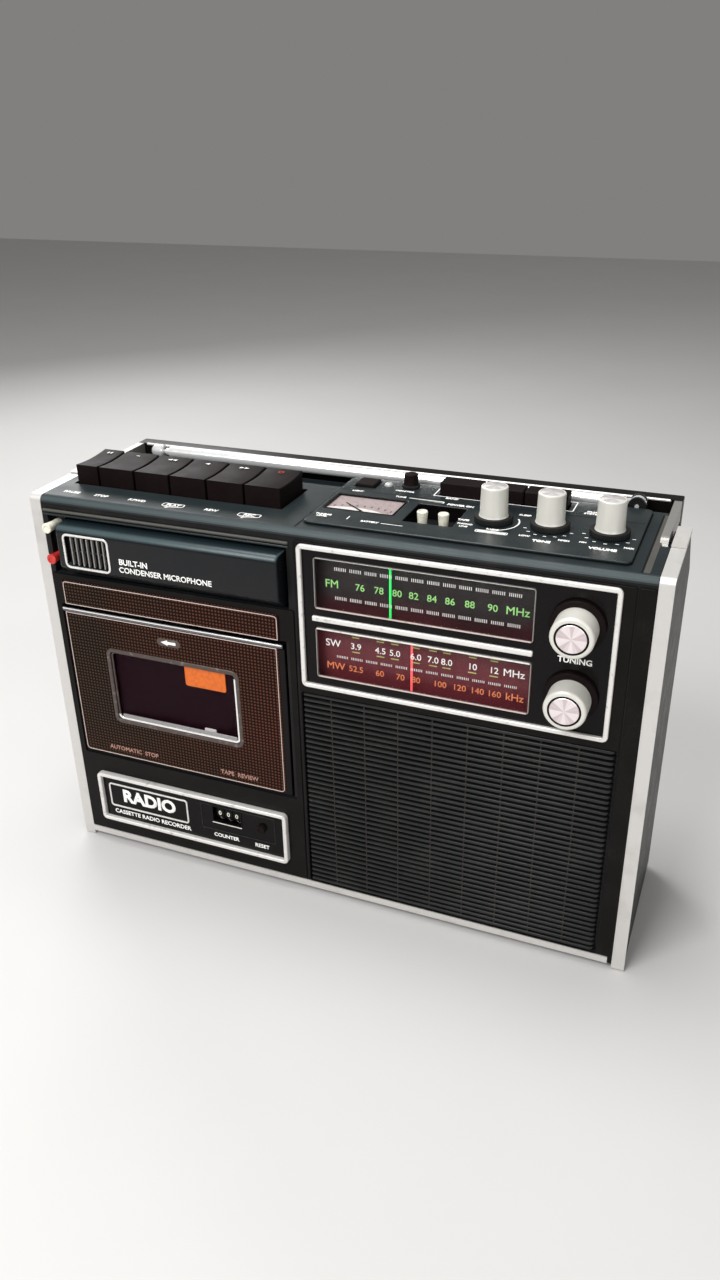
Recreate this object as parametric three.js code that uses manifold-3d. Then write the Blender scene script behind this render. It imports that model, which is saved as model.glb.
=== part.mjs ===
// A portable radio cassette recorder of the mid 1970s, built as separate shells, trims, controls and mechanism.
// Units are millimetres. Cabinet coordinates: x is measured from the middle of the front, y runs back from the
// plane of the front panel, and z runs up from the surface that the recorder stands on. The last group moves
// them so that the origin is under the middle of the whole object, on that surface.
import * as THREE from "three";
import { mergeVertices } from "three/addons/utils/BufferGeometryUtils.js";
import Module from "manifold-3d";

const wasm = await Module();
wasm.setup();

// ---------------------------------------------------------------------------------------------------------
// Driving dimensions
// ---------------------------------------------------------------------------------------------------------
const HALF_WIDTH = 185;          // outside of the aluminium side trims
const DECK_Z = 247.5;            // top deck
const BACK_Y = 100;              // back of the rear cabinet
const SEAM_Y = 41;               // joint between the front and the rear cabinet
const BOTTOM_Z = 4;              // underside of both cabinets, above their moulded feet
const WALL = 3.2;                // cabinet wall
const GAP = 0.3;                 // clearance between neighbouring pieces
const KNOB_FACE_Y = -17;         // front of the tuning knobs, the foremost point
const HANDLE_BACK_Y = 115;       // back of the grip, the rearmost point

const TRIM = { width: 7.4, thickness: 2, bottom: 1, rearEnd: 70, rearRise: 1 };
const CHEEK_X = HALF_WIDTH - 0.4;                // outside of the black side walls
const MIDDLE_X = HALF_WIDTH - TRIM.width - GAP;  // edge of the front panel beside the trims

const ARM = { inner: 171.5, outer: 175.7, pivotY: 50.5, pivotZ: 243.5, radius: 6.5, pin: 1.8 };
const SLOT = { inner: 170.9, outer: 176.3, floor: 236 };   // slots for the handle arms
const GRIP = { front: 105, bottom: 228, top: 250 };
const DECK_END = { left: 72, right: 90, split: -14.3 };    // where the deck gives way to the aerial trough
const TROUGH_FLOOR = 240;

const DIAL = { x: [-11.25, 162], z: [153, 240.5], rim: 2.6, windowX: [-2, 120] };
const FM_WINDOW_Z = [203, 233.75];
const AM_WINDOW_Z = [160.5, 192];
const FM_KNOB = { x: 141.5, z: 217 };
const AM_KNOB = { x: 141, z: 176.3 };
const FM_POINTER_X = 40.5;
const AM_POINTER_X = 52.8;
const POINTER_Y = 3.9;            // front of the needles, just behind the lens
const DIAL_PLATE_Y = 7.3;

const GRILLE = { x: [-12, 167.5], z: [10, 148], slots: 38, slotHeight: 1.9 };
const SPEAKER = { x: 77.75, z: 79, hole: 51 };

const MIC_BAY = { x: [-174, -18], z: [199.3, 237.5], shelfX: -164.5, shelfY: 4, back: 21.5 };
const MIC = { x: [-163, -20], z: [201, 234], front: -9, back: 20 };
const MIC_BUTTON = { x: -170, radius: 3.1, front: -8, back: 12, upperZ: 230.5, lowerZ: 211 };

const DOOR = { x: [-172, -21.5], z: [71, 178], front: -0.8, back: 5.2, pivotY: 2.2, pivotZ: 74 };
const WINDOW = { x: [-144, -53], z: [100.75, 153.25] };
const CASSETTE_X = -97.75;       // middle of the cassette and of the door window
const HOLDER = { x: [-150.5, -45], z: [95, 160], y: [5.5, 17.5], wall: 2 };
const SPINDLE = { spacing: 42.5, z: 133 };
const CAPSTAN = { x: -64.75, z: 153.5, radius: 1.2 };
const FLYWHEEL = { radius: 27, y: [28.5, 36] };
const MOTOR = { x: -145, z: 95, radius: 17, y: [38, 66], pulley: 5 };
const BELT_Y = [31, 33];
const DECK_PLATE = { x: [-179, -14], z: [62, 196], y: [24, 26] };

const COUNTER = { x: [-165, -26.25], z: [20, 57.5], front: -4.5, face: -2.5 };
const COUNTER_WINDOW = { x: [-79.5, -59.5], z: [38.75, 50.2] };
const COUNTER_AXIS = { y: 8.8, z: 44.4, radius: 8.4 };
const RESET = { x: -44.5, z: 42, radius: 3 };

const KEY_EDGES = [-170.6, -154.5, -129.8, -105.8, -81.4, -57, -33.3];   // from the pause key to the record key
const KEY_NAMES = ["pause_key", "stop_key", "rewind_key", "play_key", "forward_key", "record_key"];
const KEY = { front: 28, back: 58.5, top: 259.5, dip: 1.8, bottom: 239.5, pivotY: 66, pivotZ: 240, shaft: 2 };
const KEY_SLOT = { x: [-171.4, -32.2], y: [25.8, 61.5] };

const PANEL = { x: [-12.5, 162.5], y: [10, 88.3], z: [247.8, 249.3], skirt: 1.5 };
const METER = { x: [-10.5, 32], y: [32, 58] };
const METER_PIVOT = { x: 10.75, y: 36, z: 242, length: 16 };
const LEVER_POCKET = { x: [38.75, 66], y: [27, 56], floor: 240.5 };
const LEVER = { xs: [47, 59], y: 37, pivotZ: 238.5, top: 251 };
const TOP_KNOBS = { function_knob: 85, tone_knob: 115.5, volume_knob: 146.5 };
const TOP_KNOB = { y: 43, ring: 10.4, body: 7.2, top: 269 };
const MONITOR = { x: 25.5, y: 80, top: 257.7 };
const LIGHT_BUTTON = { x: [-6.5, 5.5], y: [72, 84], top: 251 };
const BAND_KEYS = { edges: [45, 69.6, 94, 118.6], y: [72.5, 84], z: [241, 257] };

const AERIAL = { y: 95.8, z: 249, pivotX: 153, outer: 3.2, middle: 2.3, inner: 1.4, tipX: -155, tip: 4.2 };

const BATTERY = { x: [12, 150], z: [14, 86], y: [60, 97] };
const BATTERY_PIN = { y: 98.4, z: 16.2 };
const BOARD = { x: [-10, 165], z: [92, 225], y: [60, 61.6] };
const INLET = { x: [-150, -128], z: [28, 44], depth: 12 };

// ---------------------------------------------------------------------------------------------------------
// Solid helpers: three.js makes every shape, and manifold-3d joins and cuts them
// ---------------------------------------------------------------------------------------------------------
function solid(geometry) {
  const bare = new THREE.BufferGeometry();
  bare.setAttribute("position", geometry.getAttribute("position"));
  if (geometry.index) bare.setIndex(geometry.index);
  const merged = mergeVertices(bare, 1e-4);
  return new wasm.Manifold(new wasm.Mesh({
    numProp: 3,
    vertProperties: merged.getAttribute("position").array,
    triVerts: new Uint32Array(merged.index.array),
  }));
}

function geometryOf(made) {
  const mesh = made.getMesh();
  const positions = new Float32Array(mesh.numVert * 3);
  for (let i = 0; i < mesh.numVert; i++) {
    positions.set(mesh.vertProperties.subarray(i * mesh.numProp, i * mesh.numProp + 3), i * 3);
  }
  return new THREE.BufferGeometry()
    .setAttribute("position", new THREE.BufferAttribute(positions, 3))
    .setIndex(new THREE.BufferAttribute(mesh.triVerts, 1));
}

const join = (...parts) => parts.reduce((whole, part) => whole.add(part));
const cut = (whole, ...parts) => parts.reduce((left, part) => left.subtract(part), whole);

// A box between two limits along each axis.
function block([x0, x1], [y0, y1], [z0, z1]) {
  const box = new THREE.BoxGeometry(x1 - x0, y1 - y0, z1 - z0);
  return solid(box.translate((x0 + x1) / 2, (y0 + y1) / 2, (z0 + z1) / 2));
}

// A cylinder or cone from one point to another.
function rod(from, to, radius, sides = 16, endRadius = radius) {
  const a = new THREE.Vector3(...from);
  const b = new THREE.Vector3(...to);
  const axis = new THREE.Vector3().subVectors(b, a);
  const turn = new THREE.Quaternion().setFromUnitVectors(new THREE.Vector3(0, 1, 0), axis.clone().normalize());
  const geometry = new THREE.CylinderGeometry(endRadius, radius, axis.length(), sides);
  const middle = a.add(b).multiplyScalar(0.5);
  return solid(geometry.applyQuaternion(turn).translate(middle.x, middle.y, middle.z));
}

const rodX = (x, y, z, radius, sides) => rod([x[0], y, z], [x[1], y, z], radius, sides);
const rodY = (x, y, z, radius, sides) => rod([x, y[0], z], [x, y[1], z], radius, sides);
const rodZ = (x, y, z, radius, sides) => rod([x, y, z[0]], [x, y, z[1]], radius, sides);

function roundedRect([x0, x1], [y0, y1], radius) {
  const shape = new THREE.Shape();
  shape.absarc(x1 - radius, y1 - radius, radius, 0, Math.PI / 2);
  shape.absarc(x0 + radius, y1 - radius, radius, Math.PI / 2, Math.PI);
  shape.absarc(x0 + radius, y0 + radius, radius, Math.PI, 1.5 * Math.PI);
  shape.absarc(x1 - radius, y0 + radius, radius, 1.5 * Math.PI, 2 * Math.PI);
  return shape;
}

function extruded(shape, depth, curveSegments = 3) {
  return new THREE.ExtrudeGeometry(shape, { depth, bevelEnabled: false, curveSegments });
}

// A plate with round corners that faces the front.
function frontPlate(x, z, radius, [y0, y1]) {
  return solid(extruded(roundedRect(x, z, radius), y1 - y0).rotateX(Math.PI / 2).translate(0, y1, 0));
}

// A plate with round corners that faces up.
function topPlate(x, y, radius, [z0, z1]) {
  return solid(extruded(roundedRect(x, y, radius), z1 - z0).translate(0, 0, z0));
}

// A shape drawn in y and z, carried along x.
function sideProfile(shape, [x0, x1], curveSegments = 4) {
  const basis = new THREE.Matrix4().makeBasis(
    new THREE.Vector3(0, 1, 0), new THREE.Vector3(0, 0, 1), new THREE.Vector3(1, 0, 0));
  return solid(extruded(shape, x1 - x0, curveSegments).applyMatrix4(basis).translate(x0, 0, 0));
}

const polygon = (points) => new THREE.Shape(points.map(([a, b]) => new THREE.Vector2(a, b)));

// A turned piece: its profile lists radius and height along the axis, and stands at the origin along +Y.
function turned(profile, sides) {
  return new THREE.LatheGeometry(profile.map(([r, h]) => new THREE.Vector2(r, h)), sides);
}

const mirrored = (made) => made.mirror([1, 0, 0]);

// ---------------------------------------------------------------------------------------------------------
// Materials
// ---------------------------------------------------------------------------------------------------------
function finish(color, roughness, metalness = 0, opacity = 1) {
  return new THREE.MeshStandardMaterial({ color, roughness, metalness, opacity, transparent: opacity < 1 });
}

const MATERIAL = {
  cabinet: finish(0x1c1b1c, 0.55),
  panel: finish(0x23252b, 0.5),
  mic: finish(0x171b21, 0.45),
  aluminium: finish(0xd9d8d3, 0.35, 0.9),
  chrome: finish(0xe6e6e6, 0.12, 1),
  grille: finish(0x151616, 0.5),
  key: finish(0x1d1a1c, 0.4),
  lens: finish(0xd8d4d4, 0.08, 0, 0.3),
  smoked: finish(0x2b1520, 0.1, 0, 0.5),
  dial: finish(0x2a1518, 0.6),
  green: finish(0x19b53c, 0.4),
  red: finish(0xe0433f, 0.4),
  white: finish(0xe9e4d2, 0.45),
  steel: finish(0x9a9c9e, 0.4, 0.8),
  rubber: finish(0x121212, 0.9),
  board: finish(0x8a6a34, 0.7),
  paper: finish(0x2c2a28, 0.95),
  scale: finish(0xd9cfd2, 0.6),
};

const cabinet = new THREE.Group();

function place(name, made, material, position = [0, 0, 0]) {
  const geometry = made.isBufferGeometry ? made : geometryOf(made);
  const mesh = new THREE.Mesh(geometry, MATERIAL[material]);
  mesh.name = name;
  mesh.position.set(...position);
  cabinet.add(mesh);
  return mesh;
}

// ---------------------------------------------------------------------------------------------------------
// Cabinet shells
// ---------------------------------------------------------------------------------------------------------
function foot(x, y) {
  return block([x - 12, x + 12], [y - 6, y + 6], [0, BOTTOM_Z + 1]);
}

function frontCabinet() {
  const lip = 5;                       // radius of the edge between the front panel and the deck
  const face = new THREE.Shape();
  face.moveTo(SEAM_Y, BOTTOM_Z);
  face.lineTo(SEAM_Y, DECK_Z);
  face.lineTo(lip, DECK_Z);
  face.absarc(lip, DECK_Z - lip, lip, Math.PI / 2, Math.PI);
  face.lineTo(0, BOTTOM_Z);
  const cheekTop = DECK_Z - TRIM.thickness - GAP;
  let shell = join(
    sideProfile(face, [-MIDDLE_X, MIDDLE_X]),
    block([-CHEEK_X, CHEEK_X], [TRIM.thickness + GAP, SEAM_Y], [BOTTOM_Z, cheekTop]),
  );
  shell = cut(shell, block([WALL - CHEEK_X, CHEEK_X - WALL], [WALL, SEAM_Y + 1], [BOTTOM_Z + WALL, 244]));
  shell = join(shell, topDeck(), speakerBaffle(), micPocket(), hingeBosses(), ...deckPlateBosses());
  return cut(
    join(shell, foot(-140, 22), foot(140, 22)),
    block([DIAL.x[0] + 2, DIAL.x[1] - 2], [-1, 9], [DIAL.z[0] + 2, DIAL.z[1] - 2]),
    block([DOOR.x[0] - 0.7, DOOR.x[1] + 0.7], [-1, 9], [DOOR.z[0] - GAP, DOOR.z[1] + 0.7]),
    frontPlate([COUNTER.x[0] + 2, COUNTER.x[1] - 2], [COUNTER.z[0] + 2, COUNTER.z[1] - 2], 2, [-1, 9]),
    block([-MIDDLE_X - 1, 175.3], [-1, 1], [BOTTOM_Z - 1, 9.05]),
    hingeHoles(),
  );
}

// The deck runs back over the rear cabinet: further behind the radio than behind the keys.
function topDeck() {
  const under = 244;
  const left = block([-SLOT.inner + GAP, DECK_END.split], [SEAM_Y - 2, DECK_END.left], [under, DECK_Z]);
  const right = block([DECK_END.split - 1, SLOT.inner - GAP], [SEAM_Y - 2, DECK_END.right], [under, DECK_Z]);
  const skirtLeft = block([-SLOT.inner + GAP, DECK_END.split + 1], [DECK_END.left - 2, DECK_END.left], [241, under + 1]);
  const skirtRight = block([DECK_END.split - 1, SLOT.inner - GAP], [DECK_END.right - 2, DECK_END.right], [241, under + 1]);
  const skirtSide = block([DECK_END.split - 1, DECK_END.split + 1], [DECK_END.left - 2, DECK_END.right], [241, under + 1]);
  const panelSeat = block([PANEL.x[0] + PANEL.skirt, PANEL.x[1] - PANEL.skirt],
    [PANEL.y[0] + PANEL.skirt, PANEL.y[1] - PANEL.skirt], [under - 1, DECK_Z + 1]);
  return cut(
    join(left, right, skirtLeft, skirtRight, skirtSide, block([-MIDDLE_X, MIDDLE_X], [4, SEAM_Y], [243, DECK_Z - 1])),
    block(KEY_SLOT.x, KEY_SLOT.y, [under - 5, DECK_Z + 1]),
    panelSeat,
  );
}

function speakerBaffle() {
  return block([GRILLE.x[0] - 1, GRILLE.x[1] + 1], [WALL - 1, 5.6], [GRILLE.z[0] - 1, GRILLE.z[1] + 1]);
}

function micPocket() {
  const { x, z, back } = MIC_BAY;
  return block([x[0] - 2, x[1] + 1.7], [WALL - 1, back + 2], [z[0] - 1.8, z[1] + 1.8]);
}

function hingeBosses() {
  const height = [DOOR.pivotZ - 3.5, DOOR.pivotZ + 3.5];
  return join(
    block([DOOR.x[0] - 4.5, DOOR.x[0]], [WALL - 1, 5.6], height),
    block([DOOR.x[1], DOOR.x[1] + 4.5], [WALL - 1, 5.6], height),
  );
}

function hingeHoles() {
  return rodX([DOOR.x[0] - 3, DOOR.x[1] + 3], DOOR.pivotY, DOOR.pivotZ, 1.4, 12);
}

function deckPlateBosses() {
  const corners = [[-176, 66], [-176, 192], [-16.8, 66], [-16.8, 192]];
  return corners.map(([x, z]) => rodY(x, [WALL - 1, DECK_PLATE.y[0] - GAP], z, 2.4, 10));
}

// Openings of the front shell that are cut after its pockets are in place.
function frontOpenings(shell) {
  const { x, z, shelfX, shelfY, back } = MIC_BAY;
  const button = (height) => rodY(MIC_BUTTON.x, [shelfY - 1, back - 3], height, MIC_BUTTON.radius + GAP, 16);
  return cut(
    shell,
    block(KEY_SLOT.x, KEY_SLOT.y, [239, DECK_Z + 1]),
    block([x[0], x[1]], [-1, shelfY], z),
    block([shelfX, x[1]], [-1, back], z),
    button(MIC_BUTTON.upperZ),
    button(MIC_BUTTON.lowerZ),
    block([GRILLE.x[0] - GAP, GRILLE.x[1] + GAP], [-1, 2.2], [GRILLE.z[0] - GAP, GRILLE.z[1] + GAP]),
    rodY(SPEAKER.x, [0, 8], SPEAKER.z, SPEAKER.hole, 32),
    block([PANEL.x[0] + PANEL.skirt, PANEL.x[1] - PANEL.skirt],
      [PANEL.y[0] + PANEL.skirt, PANEL.y[1] - PANEL.skirt], [243, DECK_Z + 1]),
  );
}

function rearCabinet() {
  const start = SEAM_Y + GAP;
  const cheekTop = DECK_Z - TRIM.thickness - GAP;
  const bevel = { y: TRIM.rearEnd, z: 213 };
  const outer = polygon([[start, BOTTOM_Z], [BACK_Y, BOTTOM_Z], [BACK_Y, bevel.z], [bevel.y, cheekTop], [start, cheekTop]]);
  const inner = polygon([[start - 5, BOTTOM_Z + WALL], [BACK_Y - WALL, BOTTOM_Z + WALL], [BACK_Y - WALL, 211.5],
    [77, 233], [start - 5, 233]]);
  const underTrough = TROUGH_FLOOR - WALL;
  let shell = join(
    sideProfile(outer, [-CHEEK_X, CHEEK_X]),
    block([-SLOT.inner, SLOT.inner], [DECK_END.left + GAP, BACK_Y], [200, TROUGH_FLOOR]),
  );
  shell = cut(
    shell,
    sideProfile(inner, [WALL - CHEEK_X, CHEEK_X - WALL]),
    block([-168, 168], [start - 5, BACK_Y - WALL], [200, underTrough]),
    block([-SLOT.outer, SLOT.outer], [start - 5, DECK_END.left + GAP], [SLOT.floor, DECK_Z + 5]),
    block([DECK_END.split - 1.3, SLOT.outer], [start - 5, DECK_END.right + GAP], [SLOT.floor, DECK_Z + 5]),
    block([-SLOT.outer, -SLOT.inner], [start - 5, BACK_Y + 1], [SLOT.floor, DECK_Z + 5]),
    block([SLOT.inner, SLOT.outer], [start - 5, BACK_Y + 1], [SLOT.floor, DECK_Z + 5]),
  );
  const pin = rodX([ARM.inner - 0.3, SLOT.outer + 1], ARM.pivotY, ARM.pivotZ, ARM.pin, 12);
  shell = join(shell, pin, mirrored(pin), batteryBay(), inletPocket(), foot(-140, 84), foot(140, 84), ...aerialMounts());
  return cut(shell, block(BATTERY.x, [BATTERY.y[0], BACK_Y + 1], BATTERY.z), inletHollow(), batteryHingeHoles());
}

function batteryBay() {
  const grow = ([a, b]) => [a - 2, b + 2];
  return block(grow(BATTERY.x), [BATTERY.y[0] - 2, BACK_Y - 1], [BOTTOM_Z + 1, BATTERY.z[1] + 2]);
}

function batteryHingeHoles() {
  return rodX([BATTERY.x[0] - 1.7, BATTERY.x[1] + 1.7], BATTERY_PIN.y, BATTERY_PIN.z, 1, 10);
}

function inletPocket() {
  const grow = ([a, b]) => [a - 2, b + 2];
  return block(grow(INLET.x), [BACK_Y - INLET.depth - 2, BACK_Y - 1], grow(INLET.z));
}

function inletHollow() {
  const depth = [BACK_Y - INLET.depth, BACK_Y + 1];
  const pin = (offset) => rodY((INLET.x[0] + INLET.x[1]) / 2 + offset, [depth[0] - 1, BACK_Y - 3],
    (INLET.z[0] + INLET.z[1]) / 2, 1.2, 8);
  return cut(frontPlate(INLET.x, INLET.z, 5, depth), pin(-4.3), pin(4.3));
}

// Two ears that hold the aerial knuckle, and a rest under the far end of the rod.
function aerialMounts() {
  const { y, z, pivotX } = AERIAL;
  const ear = (from, to) => cut(
    join(block([pivotX - 5, pivotX + 5], [from, to], [TROUGH_FLOOR - 2, z]), rodY(pivotX, [from, to], z, 5, 16)),
    rodY(pivotX, [from - 1, to + 1], z, 1.5, 12),
  );
  return [
    ear(y - 4.8, y - 2.9),
    ear(y + 1.6, y + 3.5),
    block([-140, -134], [y - 3, y + 3], [TROUGH_FLOOR - 1, z - AERIAL.outer - GAP]),
  ];
}

// One aluminium strip down the front edge of a side and back along its top, with a step at the cabinet seam.
function sideTrim() {
  const { width, thickness, bottom, rearEnd, rearRise } = TRIM;
  const corner = 4;
  const under = DECK_Z - thickness;
  const strip = new THREE.Shape();
  strip.moveTo(0, bottom);
  strip.lineTo(0, DECK_Z - corner);
  strip.absarc(corner, DECK_Z - corner, corner, Math.PI, Math.PI / 2, true);
  strip.lineTo(SEAM_Y - 0.4, DECK_Z);
  strip.lineTo(SEAM_Y - 0.4, DECK_Z - 0.8);
  strip.lineTo(SEAM_Y + 0.4, DECK_Z - 0.8);
  strip.lineTo(SEAM_Y + 0.4, DECK_Z + rearRise);
  strip.lineTo(rearEnd, DECK_Z + rearRise);
  strip.lineTo(rearEnd, under);
  strip.lineTo(thickness, under);
  strip.lineTo(thickness, bottom);
  return sideProfile(strip, [HALF_WIDTH - width, HALF_WIDTH]);
}

function bottomTrim() {
  return block([-MIDDLE_X + GAP, 175], [-1, 1 - GAP], [BOTTOM_Z + 0.4, 8.75]);
}

// ---------------------------------------------------------------------------------------------------------
// Loudspeaker
// ---------------------------------------------------------------------------------------------------------
function speakerGrille() {
  const { x, z, slots, slotHeight } = GRILLE;
  const pitch = (z[1] - z[0] - 1.5) / slots;
  let plate = frontPlate(x, z, 2, [0.2, 1.9]);
  for (let row = 0; row < slots; row++) {
    const low = z[0] + 1.6 + row * pitch;
    plate = cut(plate, block([x[0] + 1.5, x[1] - 1.5], [-1, 3], [low, low + slotHeight]));
  }
  return plate;
}

function speakerDriver() {
  const profile = [[0, 26], [26, 26], [50.5, 7.5], [50.5, 6.2], [60, 6.2], [60, 8.6], [55, 8.6], [31, 29], [31, 46], [0, 46]];
  return turned(profile, 32);
}

function speakerCone() {
  const profile = [[0, 15], [13, 17.5], [46, 8.2], [49, 6.6], [49.6, 7.4], [46.6, 9], [14, 18.7], [0, 18.7]];
  return turned(profile, 32);
}

// ---------------------------------------------------------------------------------------------------------
// Radio dial and tuning
// ---------------------------------------------------------------------------------------------------------
function dialBezel() {
  const { x, z, rim, windowX } = DIAL;
  const inside = (range) => [range[0] + rim, range[1] - rim];
  const frame = cut(frontPlate(x, z, 2.5, [-2.6, -0.3]), frontPlate(inside(x), inside(z), 1.5, [-4, 1]));
  const back = block([x[0] + 2 + GAP, x[1] - 2 - GAP], [-0.4, 1.6], [z[0] + 2 + GAP, z[1] - 2 - GAP]);
  const bar = block([windowX[0] - 2, windowX[1]], [-1.9, 0.6], [195.5, 198.75]);
  return cut(
    join(frame, cut(back, block(inside(x), [-1, 0.6], inside(z))), bar),
    block(windowX, [-3, 3], FM_WINDOW_Z),
    block(windowX, [-3, 3], AM_WINDOW_Z),
    rodY(FM_KNOB.x, [-3, 3], FM_KNOB.z, 4, 16),
    rodY(AM_KNOB.x, [-3, 3], AM_KNOB.z, 4, 16),
  );
}

function dialLens() {
  const inset = (range) => [range[0] + GAP, range[1] - GAP];
  return join(
    block(inset(DIAL.windowX), [-1.4, 2.1], inset(FM_WINDOW_Z)),
    block(inset(DIAL.windowX), [-1.4, 2.1], inset(AM_WINDOW_Z)),
    block([DIAL.windowX[0] - 3, DIAL.windowX[1] + 3], [1.9, 3.1], [AM_WINDOW_Z[0] - 3, FM_WINDOW_Z[1] + 2.5]),
  );
}

function dialPlate() {
  return block([DIAL.windowX[0] - 5, DIAL.windowX[1] + 5], [DIAL_PLATE_Y, DIAL_PLATE_Y + 1.2], [AM_WINDOW_Z[0] - 4, FM_WINDOW_Z[1] + 4]);
}

// A needle with the small carriage that the dial cord pulls, made about x = 0.
function pointer([z0, z1], carriageZ) {
  return join(
    block([-0.5, 0.5], [POINTER_Y, POINTER_Y + 0.8], [z0, z1]),
    block([-4, 4], [POINTER_Y, POINTER_Y + 2.6], [carriageZ, carriageZ + 3]),
  );
}

function tuningKnob() {
  const profile = [[0, -11], [3, -11], [3, 0.6], [14.2, 0.6], [14.2, 3], [12, 3.2], [11.2, 15.6], [10.2, 17], [8.9, 17],
    [8.9, 16.5], [0, 16.5]];
  return turned(profile, 32).rotateX(Math.PI);
}

// ---------------------------------------------------------------------------------------------------------
// Cassette door and mechanism
// ---------------------------------------------------------------------------------------------------------
function cassetteDoor() {
  const { x, z, front, back, pivotY, pivotZ } = DOOR;
  const side = new THREE.Shape();
  side.moveTo(back, z[1]);
  side.lineTo(front, z[1]);
  side.lineTo(front, pivotZ);
  side.absarc(pivotY, pivotZ, pivotY - front, Math.PI, 2 * Math.PI);
  const strip = block([x[0], x[1] - 1], [front - 1.8, front + 1], [174.5, z[1]]);
  const stubs = rodX([x[0] - 2.5, x[1] + 2.5], pivotY, pivotZ, 1.1, 10);
  return cut(
    join(sideProfile(side, x, 8), strip, stubs),
    frontPlate(WINDOW.x, WINDOW.z, 4, [front - 1, 1.2]),
    frontPlate([WINDOW.x[0] + 2, WINDOW.x[1] - 2], [WINDOW.z[0] + 2, WINDOW.z[1] - 2], 3, [0, back + 1]),
  );
}

function doorWindow() {
  const inset = ([a, b]) => [a + GAP, b - GAP];
  const step = ([a, b]) => [a + 2 + GAP, b - 2 - GAP];
  return join(
    frontPlate(inset(WINDOW.x), inset(WINDOW.z), 3.8, [-0.3, 1.2 - GAP]),
    frontPlate(step(WINDOW.x), step(WINDOW.z), 2.8, [0.5, 3]),
  );
}

// A channel that the cassette slides into from above, open at the back for the spindles.
function cassetteHolder() {
  const { x, z, y, wall } = HOLDER;
  return cut(
    block(x, y, z),
    block([x[0] + wall, x[1] - wall], [y[0] + 1.2, y[1] - 1.4], [z[0] + wall, z[1] + 1]),
    block([x[0] + 8, x[1] - 8], [y[0] - 1, y[1] + 1], [z[0] + 7, z[1] + 1]),
  );
}

function deckPlate() {
  const { x, z, y } = DECK_PLATE;
  const through = [y[0] - 1, y[1] + 1];
  const spindle = (side) => rodY(CASSETTE_X + side * SPINDLE.spacing / 2, through, SPINDLE.z, 2.4, 12);
  return cut(
    block(x, y, z),
    spindle(-1),
    spindle(1),
    rodY(CAPSTAN.x, through, CAPSTAN.z, CAPSTAN.radius + 0.6, 12),
  );
}

// A reel table with its splined hub, standing along +Y from the plate side to the cassette side.
function spindle() {
  const table = solid(turned([[0, -4], [2, -4], [2, 1.6], [14, 1.6], [14, 3.6], [4.2, 4.6], [3.6, 10], [0, 11]], 24));
  const fin = (turn) => block([-0.7, 0.7], [4, 8.5], [0, 5]).rotate([0, turn, 0]);
  return join(table, fin(0), fin(120), fin(240)).rotate([180, 0, 0]);
}

function capstanFlywheel() {
  return join(
    rodY(0, FLYWHEEL.y, 0, FLYWHEEL.radius, 32),
    rodY(0, [8, FLYWHEEL.y[0] + 1], 0, CAPSTAN.radius, 12),
  );
}

function motorPulley() {
  return join(rodY(0, [29.5, 36.5], 0, MOTOR.pulley, 16), rodY(0, [36, MOTOR.y[0] - GAP], 0, 1.2, 8));
}

function driveMotor() {
  const leg = (angle) => rodY(13 * Math.cos(angle), [DECK_PLATE.y[1] + GAP, MOTOR.y[0] + 1], 13 * Math.sin(angle), 2, 8);
  return join(rodY(0, MOTOR.y, 0, MOTOR.radius, 24), leg(Math.PI * 0.85), leg(Math.PI * 1.5));
}

// The outline of a belt stretched round two pulleys, at a distance outside them.
function beltOutline(distance) {
  const across = new THREE.Vector2(MOTOR.x - CAPSTAN.x, MOTOR.z - CAPSTAN.z);
  const lead = Math.acos((FLYWHEEL.radius - MOTOR.pulley) / across.length());
  const heading = across.angle();
  const around = new THREE.Shape();
  around.absarc(CAPSTAN.x, CAPSTAN.z, FLYWHEEL.radius + distance, heading + lead, heading - lead + 2 * Math.PI);
  around.absarc(MOTOR.x, MOTOR.z, MOTOR.pulley + distance, heading - lead, heading + lead);
  return around;
}

function driveBelt() {
  const loop = (distance) => solid(extruded(beltOutline(distance), BELT_Y[1] - BELT_Y[0], 16)
    .rotateX(Math.PI / 2).translate(0, BELT_Y[1], 0));
  const grown = loop(1.3);
  const inside = loop(GAP).scale([1, 3, 1]).translate([0, -2 * BELT_Y[0] - 2, 0]);
  return grown.subtract(inside);
}

function pinchRoller() {
  const arm = { length: 23.3, y: [20.5, 22.3] };
  return join(
    rodY(-arm.length, [10, 19.5], 0, 5, 20),
    rodY(-arm.length, [19, arm.y[1]], 0, 1.5, 10),
    block([-arm.length, 0], arm.y, [-2.5, 2.5]),
    rodY(-arm.length, arm.y, 0, 3.5, 12),
    rodY(0, [18, DECK_PLATE.y[0] - GAP], 0, 4, 12),
  );
}

function tapeHead() {
  return join(
    block([-33, 24], [20.4, 22.2], [4, 20]),
    block([-6.2, 6.2], [10, 21], [0, 12]),
    block([-20, -12], [11, 21], [3, 11]),
  );
}

// ---------------------------------------------------------------------------------------------------------
// Microphone
// ---------------------------------------------------------------------------------------------------------
function micUnit() {
  const { x, z, front, back } = MIC;
  const side = polygon([[back, z[0]], [back, z[1]], [front + 2.5, z[1]], [front, z[1] - 2.5], [front, z[0] + 7],
    [-0.5, z[0]]]);
  return cut(sideProfile(side, x), frontPlate([-157, -128], [209.5, 228.5], 3, [front - 1, front + 3]));
}

function micButton() {
  return rod([0, MIC_BUTTON.back, 0], [0, MIC_BUTTON.front, 0], MIC_BUTTON.radius, 16);
}

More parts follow.
